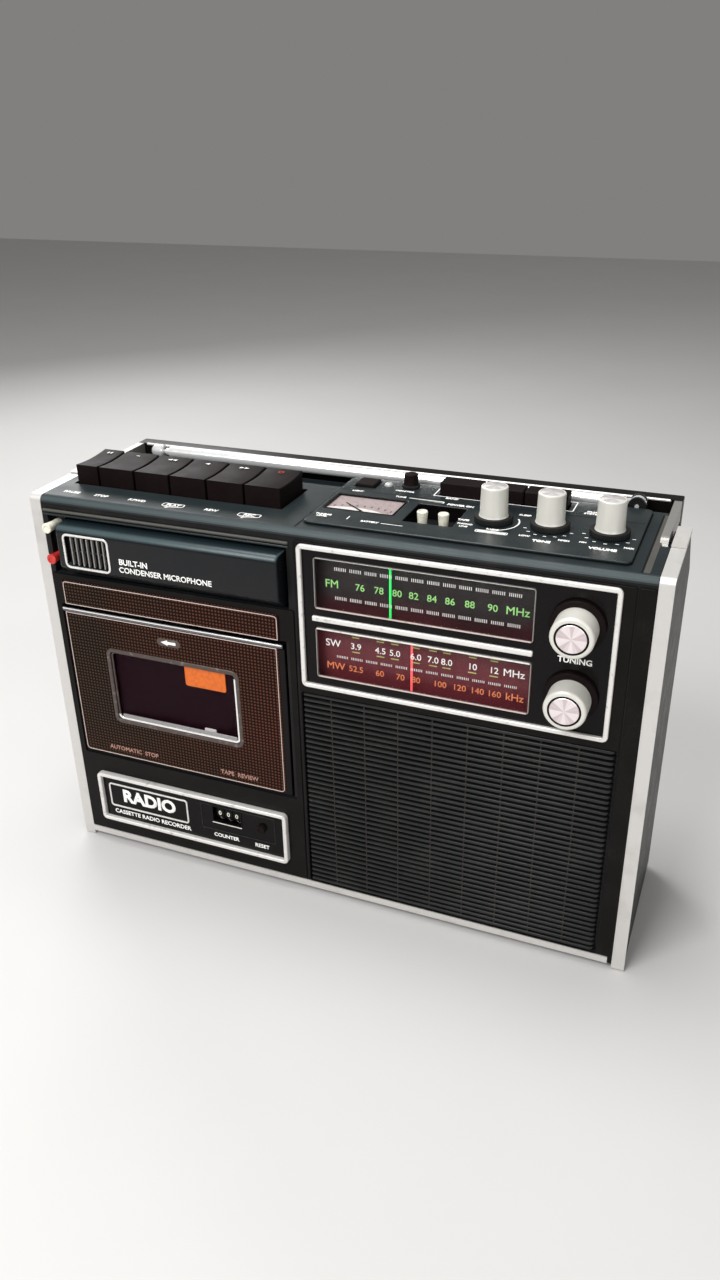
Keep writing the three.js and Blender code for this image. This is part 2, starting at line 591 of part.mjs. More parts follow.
// ---------------------------------------------------------------------------------------------------------
// Tape counter
// ---------------------------------------------------------------------------------------------------------
function counterPanel() {
  const { x, z, front, face } = COUNTER;
  const inset = (range, by) => [range[0] + by, range[1] - by];
  const body = frontPlate(inset(x, 2.4), inset(z, 2.4), 2, [face + 1, 5]);
  const rim = frontPlate(x, z, 3, [front, -GAP]);
  const ear = (at) => block([at - 1, at + 1], [4, 12], [39, 50]);
  return cut(
    join(body, rim, ear(COUNTER_WINDOW.x[0] - 2), ear(COUNTER_WINDOW.x[1] + 2)),
    frontPlate(inset(x, 2.6), inset(z, 2.6), 1.5, [front - 1, face]),
    block(COUNTER_WINDOW.x, [-3, 6], COUNTER_WINDOW.z),
    block([COUNTER_WINDOW.x[0] - 0.5, COUNTER_WINDOW.x[1] + 0.5], [0, 6], [35.4, 53]),
    rodX([COUNTER_WINDOW.x[0] - 5, COUNTER_WINDOW.x[1] + 5], COUNTER_AXIS.y, COUNTER_AXIS.z, 1.8, 12),
    rodY(RESET.x, [-5, 6], RESET.z, RESET.radius + GAP, 16),
  );
}

function counterWheels() {
  const middle = (COUNTER_WINDOW.x[0] + COUNTER_WINDOW.x[1]) / 2;
  const wheel = (offset) => rodX([middle + offset - 2.8, middle + offset + 2.8], 0, 0, COUNTER_AXIS.radius, 20);
  const shaft = rodX([middle - 14, middle + 14], 0, 0, 1.5, 12);
  return join(shaft, wheel(-6), wheel(0), wheel(6));
}

// ---------------------------------------------------------------------------------------------------------
// Piano keys
// ---------------------------------------------------------------------------------------------------------
function pianoKey(width) {
  const { front, back, top, dip, bottom, pivotY, pivotZ, shaft } = KEY;
  const cap = new THREE.Shape();
  cap.moveTo(front, bottom);
  cap.lineTo(back, bottom);
  cap.lineTo(back, top - 0.3);
  cap.quadraticCurveTo((front + back) / 2, top - 2 * dip, front, top);
  const lever = polygon([[back - 6, bottom], [back - 6, 236.5], [pivotY, 236.5], [pivotY, 242.6], [back - 6, 242.6]]);
  const whole = join(
    sideProfile(cap, [0, width], 6),
    sideProfile(lever, [width / 2 - 4, width / 2 + 4]),
    rodX([width / 2 - 4, width / 2 + 4], pivotY, pivotZ, 3.5, 12),
  );
  return cut(whole, rodX([-1, width + 1], pivotY, pivotZ, shaft + 0.2, 12));
}

function keyShaft() {
  return rodX([-169.5, -33], KEY.pivotY, KEY.pivotZ, KEY.shaft, 12);
}

// ---------------------------------------------------------------------------------------------------------
// Control panel on the deck
// ---------------------------------------------------------------------------------------------------------
function controlPanel() {
  const { x, y, z, skirt } = PANEL;
  const inset = (range, by) => [range[0] + by, range[1] - by];
  const grow = ([a, b], by = 1.5) => [a - by, b + by];
  const plate = topPlate(x, y, 3, z);
  const locating = block(inset(x, skirt + GAP), inset(y, skirt + GAP), [245, z[0] + 0.5]);
  const pocket = block(grow(LEVER_POCKET.x), grow(LEVER_POCKET.y), [LEVER_POCKET.floor - 1.5, z[0]]);
  const bandEnds = [BAND_KEYS.edges[0] - GAP, BAND_KEYS.edges[3] + GAP];
  const top = [230, z[1] + 1];
  const shaftHoles = Object.values(TOP_KNOBS).map((at) => rodZ(at, TOP_KNOB.y, top, 3.4, 12));
  const leverSlots = LEVER.xs.map((at) => block([at - 2.2, at + 2.2], [LEVER.y - 6, LEVER.y + 6], top));
  return cut(
    join(plate, locating, pocket),
    block(METER.x, METER.y, top),
    block(LEVER_POCKET.x, LEVER_POCKET.y, [LEVER_POCKET.floor, z[1] + 1]),
    block(bandEnds, grow(BAND_KEYS.y, GAP), top),
    block(grow(LIGHT_BUTTON.x, GAP), grow(LIGHT_BUTTON.y, GAP), top),
    rodZ(MONITOR.x, MONITOR.y, top, 2.4, 12),
    ...shaftHoles,
    ...leverSlots,
  );
}

function levelMeter() {
  const inset = ([a, b], by) => [a + by, b - by];
  const tray = block(inset(METER.x, GAP), inset(METER.y, GAP), [236, 247.2]);
  return cut(tray, block(inset(METER.x, 1.8), inset(METER.y, 1.8), [238.5, 250]));
}

function meterLens() {
  const inset = ([a, b], by) => [a + by, b - by];
  return topPlate(inset(METER.x, GAP), inset(METER.y, GAP), 1.5, [247.5, 249.8]);
}

function meterNeedle() {
  const needle = block([0, METER_PIVOT.length], [-0.4, 0.4], [-0.4, 0.4]);
  return join(needle, rodZ(0, 0, [-2.5, 1], 1.8, 10));
}

function topKnob() {
  const base = 249.6;
  const profile = [[0, 242], [3, 242], [3, base], [TOP_KNOB.ring, base], [TOP_KNOB.ring, base + 3.4], [9, base + 3.6],
    [7.6, base + 6], [TOP_KNOB.body, 267.8], [6.4, TOP_KNOB.top], [0, TOP_KNOB.top]];
  return turned(profile, 28).rotateX(Math.PI / 2);
}

function monitorKnob() {
  const profile = [[0, 243], [2, 243], [2, 249.6], [5.3, 249.6], [5.3, 251], [4.6, 251.4], [4.1, 257], [3.4, MONITOR.top],
    [0, MONITOR.top]];
  return turned(profile, 18).rotateX(Math.PI / 2);
}

function leverStick() {
  return join(
    rodZ(0, 0, [LEVER.pivotZ - 1.5, LEVER_POCKET.floor + 2.5], 1.7, 10),
    rodZ(0, 0, [LEVER_POCKET.floor + 2, LEVER.top], 2.8, 14),
  );
}

// ---------------------------------------------------------------------------------------------------------
// Handle, aerial and battery door
// ---------------------------------------------------------------------------------------------------------
function carryHandle() {
  const { inner, outer, pivotY, pivotZ, radius, pin } = ARM;
  const armSide = new THREE.Shape();
  armSide.moveTo(HANDLE_BACK_Y - 4, GRIP.top);
  armSide.lineTo(pivotY, GRIP.top);
  armSide.absarc(pivotY, pivotZ, radius, Math.PI / 2, 1.5 * Math.PI);
  armSide.lineTo(HANDLE_BACK_Y - 4, GRIP.top - 11);
  const arm = sideProfile(armSide, [inner, outer], 8);
  const grip = new THREE.Shape();
  grip.absarc(GRIP.front + 3, GRIP.bottom + 3, 3, Math.PI, 1.5 * Math.PI);
  grip.absarc(HANDLE_BACK_Y - 3, GRIP.bottom + 3, 3, 1.5 * Math.PI, 2 * Math.PI);
  grip.absarc(HANDLE_BACK_Y - 2, GRIP.top - 2, 2, 0, Math.PI / 2);
  grip.lineTo(GRIP.front, GRIP.top);
  return cut(
    join(arm, mirrored(arm), sideProfile(grip, [-outer, outer])),
    rodX([-outer - 1, outer + 1], pivotY, pivotZ, pin + 0.25, 12),
  );
}

function aerialOuter() {
  const { outer, middle, pivotX, y } = AERIAL;
  const length = { near: -6.5, far: -AERIAL.pivotX - 146 };
  return cut(
    join(
      rodY(0, [-2.5, 1.2], 0, 4.6, 20),
      rodY(0, [-5.4, 4.1], 0, 1.2, 12),
      rodX([length.far, length.near], 0, 0, outer, 16),
      block([-8, -3], [-2.5, 1.2], [-2.4, 2.4]),
    ),
    rodX([length.far - 1, -12], 0, 0, middle + 0.2, 16),
  );
}

function aerialMiddle() {
  const { middle, inner, pivotX } = AERIAL;
  return cut(
    rodX([-pivotX - 148.5, -22], 0, 0, middle, 16),
    rodX([-pivotX - 150, -30], 0, 0, inner + 0.2, 16),
  );
}

function aerialInner() {
  const { inner, pivotX, tipX, tip } = AERIAL;
  const ball = new THREE.SphereGeometry(tip, 16, 10).scale(1.1, 1, 1).translate(tipX - pivotX, 0, 0);
  return join(rodX([tipX - pivotX, -40], 0, 0, inner, 12), solid(ball));
}

function batteryDoor() {
  const inset = ([a, b]) => [a + GAP, b - GAP];
  const plate = block(inset(BATTERY.x), [97.4, 99.8], [BATTERY.z[0] + 1, BATTERY.z[1] - GAP]);
  const catchRidge = block([71, 91], [99, 100.8], [BATTERY.z[1] - 8, BATTERY.z[1] - 5]);
  const pins = rodX([BATTERY.x[0] - 1.4, BATTERY.x[1] + 1.4], BATTERY_PIN.y, BATTERY_PIN.z, 0.8, 8);
  return join(plate, catchRidge, pins);
}

function mainBoard() {
  return join(
    block(BOARD.x, BOARD.y, BOARD.z),
    block([125, 160], [40, BOARD.y[0] + 0.5], [180, 212]),
    rodY(100, [48, BOARD.y[0] + 0.5], 200, 8, 14),
    block([10, 30], [46, BOARD.y[0] + 0.5], [165, 185]),
  );
}

// ---------------------------------------------------------------------------------------------------------
// Assembly
// ---------------------------------------------------------------------------------------------------------
place("front_cabinet", frontOpenings(frontCabinet()), "cabinet");
place("rear_cabinet", rearCabinet(), "cabinet");
place("right_trim", sideTrim(), "aluminium");
place("left_trim", mirrored(sideTrim()), "aluminium");
place("bottom_trim", bottomTrim(), "aluminium");

place("speaker_grille", speakerGrille(), "grille");
place("speaker_driver", speakerDriver(), "steel", [SPEAKER.x, 0, SPEAKER.z]);
place("speaker_cone", speakerCone(), "paper", [SPEAKER.x, 0, SPEAKER.z]);

place("dial_bezel", dialBezel(), "panel");
place("dial_lens", dialLens(), "lens");
place("dial_plate", dialPlate(), "dial");
place("fm_pointer", pointer([203, 237], 235.5), "green", [FM_POINTER_X, 0, 0]);
place("am_pointer", pointer([158, 193], 156.8), "red", [AM_POINTER_X, 0, 0]);
place("fm_tuning_knob", tuningKnob(), "aluminium", [FM_KNOB.x, 0, FM_KNOB.z]);
place("am_tuning_knob", tuningKnob(), "aluminium", [AM_KNOB.x, 0, AM_KNOB.z]);

place("cassette_door", cassetteDoor(), "panel");
place("door_window", doorWindow(), "smoked");
place("cassette_holder", cassetteHolder(), "steel");
place("deck_plate", deckPlate(), "steel");
place("supply_spindle", spindle(), "white", [CASSETTE_X - SPINDLE.spacing / 2, 23.4, SPINDLE.z]);
place("takeup_spindle", spindle(), "white", [CASSETTE_X + SPINDLE.spacing / 2, 23.4, SPINDLE.z]);
place("capstan_flywheel", capstanFlywheel(), "steel", [CAPSTAN.x, 0, CAPSTAN.z]);
place("motor_pulley", motorPulley(), "steel", [MOTOR.x, 0, MOTOR.z]);
place("drive_motor", driveMotor(), "steel", [MOTOR.x, 0, MOTOR.z]);
place("drive_belt", driveBelt(), "rubber");
place("pinch_roller", pinchRoller(), "rubber", [-42, 0, 166]);
place("tape_head", tapeHead(), "steel", [CASSETTE_X, 0, 166]);

place("mic_unit", micUnit(), "mic");
place("mic_eject_button", micButton(), "white", [MIC_BUTTON.x, 0, MIC_BUTTON.upperZ]);
place("mic_switch_button", micButton(), "red", [MIC_BUTTON.x, 0, MIC_BUTTON.lowerZ]);

place("counter_panel", counterPanel(), "aluminium");
const countersMiddle = (COUNTER_WINDOW.x[0] + COUNTER_WINDOW.x[1]) / 2;
place("counter_wheels", counterWheels().translate([-countersMiddle, 0, 0]), "white",
  [countersMiddle, COUNTER_AXIS.y, COUNTER_AXIS.z]);
place("counter_reset_button", rodY(0, [-4.2, 7], 0, RESET.radius, 16), "key", [RESET.x, 0, RESET.z]);

KEY_NAMES.forEach((name, index) => {
  const left = KEY_EDGES[index] + GAP;
  place(name, pianoKey(KEY_EDGES[index + 1] - GAP - left), "key", [left, 0, 0]);
});
place("key_shaft", keyShaft(), "steel");

place("control_panel", controlPanel(), "panel");
place("level_meter", levelMeter(), "scale");
place("meter_lens", meterLens(), "lens");
const needle = place("meter_needle", meterNeedle(), "red", [METER_PIVOT.x, METER_PIVOT.y, METER_PIVOT.z]);
needle.rotation.z = THREE.MathUtils.degToRad(140);
for (const [name, x] of Object.entries(TOP_KNOBS)) {
  place(name, topKnob(), "aluminium", [x, TOP_KNOB.y, 0]);
}
place("monitor_knob", monitorKnob(), "key", [MONITOR.x, MONITOR.y, 0]);
place("mode_lever", leverStick(), "white", [LEVER.xs[0], LEVER.y, 0]);
place("afc_lever", leverStick(), "white", [LEVER.xs[1], LEVER.y, 0]);
place("light_button", block(LIGHT_BUTTON.x, LIGHT_BUTTON.y, [243, LIGHT_BUTTON.top]), "key");
["mw_band_key", "sw_band_key", "fm_band_key"].forEach((name, index) => {
  const [from, to] = [BAND_KEYS.edges[index] + GAP, BAND_KEYS.edges[index + 1] - GAP];
  place(name, block([from, to], BAND_KEYS.y, BAND_KEYS.z), "key");
});

place("carry_handle", carryHandle(), "chrome");
const aerial = [AERIAL.pivotX, AERIAL.y, AERIAL.z];
place("aerial_outer", aerialOuter(), "chrome", aerial);
place("aerial_middle", aerialMiddle(), "chrome", aerial);
place("aerial_inner", aerialInner(), "chrome", aerial);
place("battery_door", batteryDoor(), "cabinet");
place("main_board", mainBoard(), "board");

const recorder = new THREE.Group();
cabinet.position.y = -(KNOB_FACE_Y + HANDLE_BACK_Y) / 2;
recorder.add(cabinet);

export default recorder;
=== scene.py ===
"""A portable radio cassette recorder of the mid 1970s: its finished surfaces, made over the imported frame.

Lengths are in millimetres until a mesh is made. X runs to the right along the front, Y runs back, Z runs up.
"""
import math

import bmesh
import bpy
from mathutils import Matrix, Vector


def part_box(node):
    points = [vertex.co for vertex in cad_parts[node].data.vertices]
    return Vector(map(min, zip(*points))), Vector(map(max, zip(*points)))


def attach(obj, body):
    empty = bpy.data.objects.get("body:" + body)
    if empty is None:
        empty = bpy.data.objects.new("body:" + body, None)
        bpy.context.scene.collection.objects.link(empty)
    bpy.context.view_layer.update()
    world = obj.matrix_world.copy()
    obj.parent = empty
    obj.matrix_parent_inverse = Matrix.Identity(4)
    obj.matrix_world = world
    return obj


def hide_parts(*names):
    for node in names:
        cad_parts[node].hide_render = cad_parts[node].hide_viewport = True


MM = 0.001
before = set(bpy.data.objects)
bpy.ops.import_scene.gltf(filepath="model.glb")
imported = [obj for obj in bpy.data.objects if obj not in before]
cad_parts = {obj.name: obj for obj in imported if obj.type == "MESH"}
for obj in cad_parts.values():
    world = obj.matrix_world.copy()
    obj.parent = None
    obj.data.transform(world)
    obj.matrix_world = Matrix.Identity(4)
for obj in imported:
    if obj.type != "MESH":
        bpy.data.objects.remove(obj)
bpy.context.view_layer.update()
COLLECTION = bpy.context.scene.collection


def span(node):
    """The ends of a CAD node's box along X, Y and Z, in millimetres."""
    low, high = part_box(node)
    return [(a / MM, b / MM) for a, b in zip(low, high)]


def middle(pair):
    return (pair[0] + pair[1]) / 2


CHASSIS = "chassis"
DECK_BLUE = (0.013, 0.0195, 0.0215)
FRONT = span("front_cabinet")[1][0]        # the plane of the front panel
DECK = span("front_cabinet")[2][1]         # the top deck
PANEL_TOP = span("control_panel")[2][1]    # the raised control panel
AERIAL_RADIUS = 3.6                        # the sleeve over the widest tube
PANEL_FACE = FRONT - 1.7                   # the door and the counter panel stand proud of the fascia
SHARP = 32                                 # edges that turn by more degrees than this stay crisp
CAP_SHARE = 0.7                            # the height of a capital, as a share of the size of its lettering
DUST = (0.10, 0.095, 0.088)                # its colour on moulded plastic
KNOB_RADIUS, TOP_KNOB_RADIUS = 11.15, 7.2  # the caps, without their skirts and rings
FASCIA_Z = (9.4, 241.6)                    # the foot and the top of the moulded front faces
FLOOR_REACH = 3                            # the side of the floor, as create_grid takes it, in metres
BACKDROP_LIGHT = 0.22
PRINT = 0.06                               # how far printing stands off its surface


# ---- Materials ----
class Shader:
    """A Principled material, and the few node patterns that this object needs."""

    def __init__(self, name, color, roughness, metallic=0.0, specular=0.5):
        self.material = bpy.data.materials.new(name)
        self.material.use_nodes = True
        self.nodes = self.material.node_tree.nodes
        self.link = self.material.node_tree.links.new
        self.shader = self.nodes["Principled BSDF"]
        self.socket("Base Color").default_value = (*color, 1)
        self.socket("Roughness").default_value = roughness
        self.socket("Metallic").default_value = metallic
        self.socket("Specular IOR Level").default_value = specular
        self.color, self.roughness = color, roughness
        self.place = self.add("ShaderNodeTexCoord").outputs["Object"]
        self.height = None

    def socket(self, name):
        return self.shader.inputs[name]

    def add(self, kind, **settings):
        node = self.nodes.new(kind)
        for key, value in settings.items():
            setattr(node, key, value)
        return node

    def math(self, operation, a, b=None, clamp=False):
        node = self.add("ShaderNodeMath", operation=operation, use_clamp=clamp)
        for slot, value in enumerate([a, b]):
            if value is None:
                continue
            if isinstance(value, (int, float)):
                node.inputs[slot].default_value = value
            else:
                self.link(value, node.inputs[slot])
        return node.outputs[0]

    def stretched(self, scale):
        """The place of a point, scaled by its own factor along each axis."""
        node = self.add("ShaderNodeVectorMath", operation="MULTIPLY")
        self.link(self.place, node.inputs[0])
        node.inputs[1].default_value = scale
        return node.outputs[0]

    def noise(self, size, detail=4.0, stretch=(1, 1, 1)):
        """A noise whose features are about size millimetres across."""
        node = self.add("ShaderNodeTexNoise")
        node.inputs["Scale"].default_value = 1 / (size * MM)
        node.inputs["Detail"].default_value = detail
        self.link(self.stretched(stretch), node.inputs["Vector"])
        return node.outputs["Fac"]

    def ramp(self, value, low, high):
        """0 where value is under low and 1 where it is over high."""
        node = self.add("ShaderNodeMapRange")
        node.inputs["From Min"].default_value = low
        node.inputs["From Max"].default_value = high
        self.link(value, node.inputs["Value"])
        return node.outputs["Result"]

    def blend(self, factor, a, b):
        """Colour a where factor is 0 and colour b where it is 1. Either may be a socket."""
        node = self.add("ShaderNodeMix", data_type="RGBA")
        self.link(factor, node.inputs["Factor"])
        for name, value in (("A", a), ("B", b)):
            socket = [s for s in node.inputs if s.name == name and s.type == "RGBA"][0]
            if isinstance(value, tuple):
                socket.default_value = (*value, 1)
            else:
                self.link(value, socket)
        return [s for s in node.outputs if s.type == "RGBA"][0]

    def paint(self, color):
        self.link(color, self.socket("Base Color"))
        return self

    def uneven(self, size, spread, stretch=(1, 1, 1)):
        """Roughness that drifts by spread to each side of its value."""
        drift = self.math("MULTIPLY", self.math("SUBTRACT", self.noise(size, 5, stretch), 0.5), 3 * spread)
        self.link(self.math("ADD", drift, self.roughness, clamp=True), self.socket("Roughness"))
        return self

    def bump(self, height, strength, depth):
        """Raises the surface by depth millimetres where height is 1. Later bumps sit on earlier ones."""
        node = self.add("ShaderNodeBump")
        node.inputs["Strength"].default_value = strength
        node.inputs["Distance"].default_value = depth * MM
        self.link(height, node.inputs["Height"])
        if self.height is not None:
            self.link(self.height, node.inputs["Normal"])
        self.height = node.outputs["Normal"]
        self.link(self.height, self.socket("Normal"))
        return self

    def worn(self, size, detail, low, high, amount, color):
        """Another colour in patches, over amount of the surface."""
        patches = self.math("MULTIPLY", self.ramp(self.noise(size, detail), low, high), amount)
        return self.paint(self.blend(patches, self.color, color))

    def finish(self, drift, spread, grain, strength, depth, detail=2):
        """Uneven gloss under a fine grain, which is how the plain finishes end."""
        self.uneven(drift, spread)
        return self.bump(self.noise(grain, detail), strength, depth).material

    def dusty(self, color, amount, size=18):
        """A thin film of dust and rubbing, thicker in patches."""
        cover = self.ramp(self.noise(size, 8), 0.45, 0.85)
        fine = self.ramp(self.noise(1.2, 3), 0.35, 0.75)
        return self.paint(self.blend(self.math("MULTIPLY", self.math("MULTIPLY", cover, fine), amount),
                self.color, color))


def moulded(name, color, roughness, grain=0.25, dust=0.25, specular=0.5):
    """Satin moulded plastic: a fine grain, uneven gloss and a little dust."""
    made = Shader(name, color, roughness, specular=specular)
    made.dusty(DUST, dust)
    return made.finish(9, 0.07, 0.45, grain, 0.05)


def lipped(made, base, flat, lip_highlight):
    """Darker in front, a bluer tone on top that is partly its own colour and partly painted light, and a
    painted highlight along the rounded edges between the two.
    """
    part = made.add("ShaderNodeSeparateXYZ")
    made.link(made.add("ShaderNodeNewGeometry").outputs["Normal"], part.inputs[0])
    up = part.outputs["Z"]
    # The band of normals between the top and the front takes the painted highlight colour.
    edge = made.math("MULTIPLY", made.ramp(up, 0.2, 0.55), made.ramp(up, 0.985, 0.8))
    return part, made.blend(edge, made.blend(made.ramp(up, 0.2, 0.7), base, flat), lip_highlight)


def microphone_plastic():
    """The block's satin black, bluer on top as painted light, with a painted highlight along its brow."""
    made = Shader("microphone_black", (0.0042, 0.0050, 0.0065), 0.3, specular=0.3)
    # The second colour is painted light on the top, and the third is a painted highlight along the brow.
    made.paint(lipped(made, made.color, (0.012, 0.020, 0.024), (0.050, 0.074, 0.080))[1])
    return made.finish(9, 0.06, 0.45, 0.2, 0.05)


def pebbled():
    """Black plastic, pebbled on the side walls and back and smooth in front and on top, with a painted
    highlight along the front lip.
    """
    made = Shader("pebbled_black_plastic", (0.0050, 0.0045, 0.0048), 0.42, specular=0.22)
    made.uneven(12, 0.08)
    # The top takes the deck's blue, partly as painted light, and the rounded lip takes a painted highlight
    # colour.
    part, sheen = lipped(made, made.color, DECK_BLUE, (0.046, 0.062, 0.065))
    dust = made.math("MULTIPLY", made.ramp(made.noise(26, 10), 0.5, 0.85), 0.14)
    made.paint(made.blend(dust, sheen, (0.10, 0.095, 0.085)))
    sideways = made.math("ABSOLUTE", part.outputs["X"])
    backwards = made.math("MAXIMUM", part.outputs["Y"], 0)
    side = made.ramp(made.math("ADD", sideways, backwards), 0.5, 0.8)
    pebbles = made.add("ShaderNodeTexVoronoi", feature="SMOOTH_F1")
    pebbles.inputs["Scale"].default_value = 1 / (1.5 * MM)
    made.link(made.place, pebbles.inputs["Vector"])
    return made.bump(made.math("MULTIPLY", pebbles.outputs["Distance"], side), 0.9, 0.5).material


def satin_aluminium():
    """Anodised strip, brushed along its length and nicked in darker patches."""
    made = Shader("satin_aluminium", (0.64, 0.625, 0.60), 0.4, metallic=0.35)
    made.worn(14, 9, 0.52, 0.78, 0.45, (0.42, 0.39, 0.36))
    made.uneven(5, 0.08)
    return made.bump(made.noise(0.6, 3, (1, 1, 0.03)), 0.35, 0.04).material


def silver_line(name="silver_line", color=(0.78, 0.76, 0.73), roughness=0.33, metallic=0.3, wear=0.6,
        grain=0.15):
    made = Shader(name, color, roughness, metallic)
    made.worn(4, 9, 0.58, 0.76, wear, (0.3, 0.28, 0.26))
    return made.finish(3, 0.06, 0.5, grain, 0.03)


def streaks(made, axis):
    """Painted highlight and shade: light and dark wedges that fan out from the middle of a turned face."""
    part = made.add("ShaderNodeSeparateXYZ")
    made.link(made.add("ShaderNodeTexCoord").outputs["Generated"], part.inputs[0])
    across = made.math("SUBTRACT", part.outputs["X"], 0.5)
    along = made.math("SUBTRACT", part.outputs["Z" if axis == "Y" else "Y"], 0.5)
    angle = made.math("ARCTAN2", along, across)
    wedges = made.math("SINE", made.math("MULTIPLY", angle, 5))
    fine = made.math("SINE", made.math("MULTIPLY", angle, 13))
    return made.math("ADD", made.math("MULTIPLY", made.math("ADD", wedges, made.math("MULTIPLY", fine, 0.5)),
            0.33), 0.5)


def spun_aluminium(name, axis, color, dark):
    """A turned face: rings round the axis, with the highlight drawn into a bow, and painted light and dark
    wedges in its colour.
    """
    made = Shader(name, color, 0.26, metallic=0.6)
    made.socket("Anisotropic").default_value = 0.85
    tangent = made.add("ShaderNodeTangent", direction_type="RADIAL", axis=axis)
    made.link(tangent.outputs[0], made.socket("Tangent"))
    # Painted highlight and shade: the wedges blend the face's colour with its darker copy.
    made.paint(made.blend(made.ramp(streaks(made, axis), 0.35, 0.75), made.color, dark))
    return made.finish(16, 0.03, 9, 0.03, 0.01)


def dot_mesh():
    """A dark brown panel printed with staggered rows of bronze dots, brighter and redder towards the right
    and in broad patches, which is painted light.
    """
    made = Shader("bronze_dot_mesh", (0.0030, 0.0016, 0.0014), 0.32, specular=0.08)
    pitch = 2.15
    grid = made.add("ShaderNodeTexVoronoi", voronoi_dimensions="2D")
    grid.inputs["Scale"].default_value = 1 / (pitch * MM)
    grid.inputs["Randomness"].default_value = 0.0
    part = made.add("ShaderNodeSeparateXYZ")
    made.link(made.place, part.inputs[0])
    flat = made.add("ShaderNodeCombineXYZ")
    made.link(part.outputs["X"], flat.inputs["X"])
    made.link(part.outputs["Z"], flat.inputs["Y"])
    made.link(flat.outputs[0], grid.inputs["Vector"])
    hole = made.ramp(grid.outputs["Distance"], 0.34, 0.24)
    # Painted light: broad patches and a rise towards the right brighten and redden both the dots and the
    # ground.
    painted_glow = made.ramp(made.noise(60, 2), 0.35, 0.65)
    across = made.ramp(part.outputs["X"], -0.14, -0.03)
    painted_warm_light = made.math("ADD", made.math("MULTIPLY", painted_glow, 0.4), made.math("MULTIPLY", across, 0.6))
    dot = made.blend(painted_warm_light, (0.058, 0.034, 0.016), (0.120, 0.038, 0.018))
    made.paint(made.blend(hole, made.blend(painted_warm_light, made.color, (0.011, 0.0018, 0.0016)), dot))
    made.uneven(14, 0.06)
    return made.bump(hole, 0.5, 0.12).material


def clear_plastic(name, color, opacity, roughness=0.06, specular=0.7):
    made = Shader(name, color, roughness, specular=specular)
    made.socket("Alpha").default_value = opacity
    return made.finish(11, 0.03, 7, 0.02, 0.02)


def dial_black():
    """The dial behind its lens: near black above, and maroon in cloudy patches below."""
    made = Shader("maroon_dial", (0.010, 0.005, 0.006), 0.45)
    part = made.add("ShaderNodeSeparateXYZ")
    made.link(made.place, part.inputs[0])
    low = made.ramp(made.math("ADD", part.outputs["Z"], made.math("MULTIPLY", made.noise(45, 2), 0.02)),
            0.222, 0.196)
    made.paint(made.blend(low, made.color, (0.135, 0.016, 0.024)))
    return made.finish(6, 0.05, 0.6, 0.1, 0.02)


def painted(name, color, roughness=0.45, painted_glow=0.0):
    """Printed ink or a moulded-in colour, a little uneven; painted_glow gives it a painted glow, though it is
    no lamp.
    """
    made = Shader(name, color, roughness)
    made.paint(made.blend(made.ramp(made.noise(2.5, 5), 0.45, 0.75), color, tuple(0.72 * c for c in color)))
    # A painted glow: the ink gives off light of its own, though it is no lamp.
    if painted_glow:
        made.socket("Emission Color").default_value = (*color, 1)
        made.socket("Emission Strength").default_value = painted_glow
    return made.finish(3, 0.06, 0.5, 0.08, 0.02)


def plated_steel():
    made = Shader("plated_steel", (0.36, 0.36, 0.36), 0.35, metallic=0.9)
    return made.finish(8, 0.1, 0.7, 0.15, 0.03, 4)


def speaker_cloth():
    made = Shader("speaker_cloth", (0.007, 0.007, 0.007), 0.9)
    weave = made.add("ShaderNodeTexWave", bands_direction="DIAGONAL")
    weave.inputs["Scale"].default_value = 300
    made.link(made.place, weave.inputs["Vector"])
    return made.uneven(2, 0.05).bump(weave.outputs["Fac"], 0.4, 0.1).material


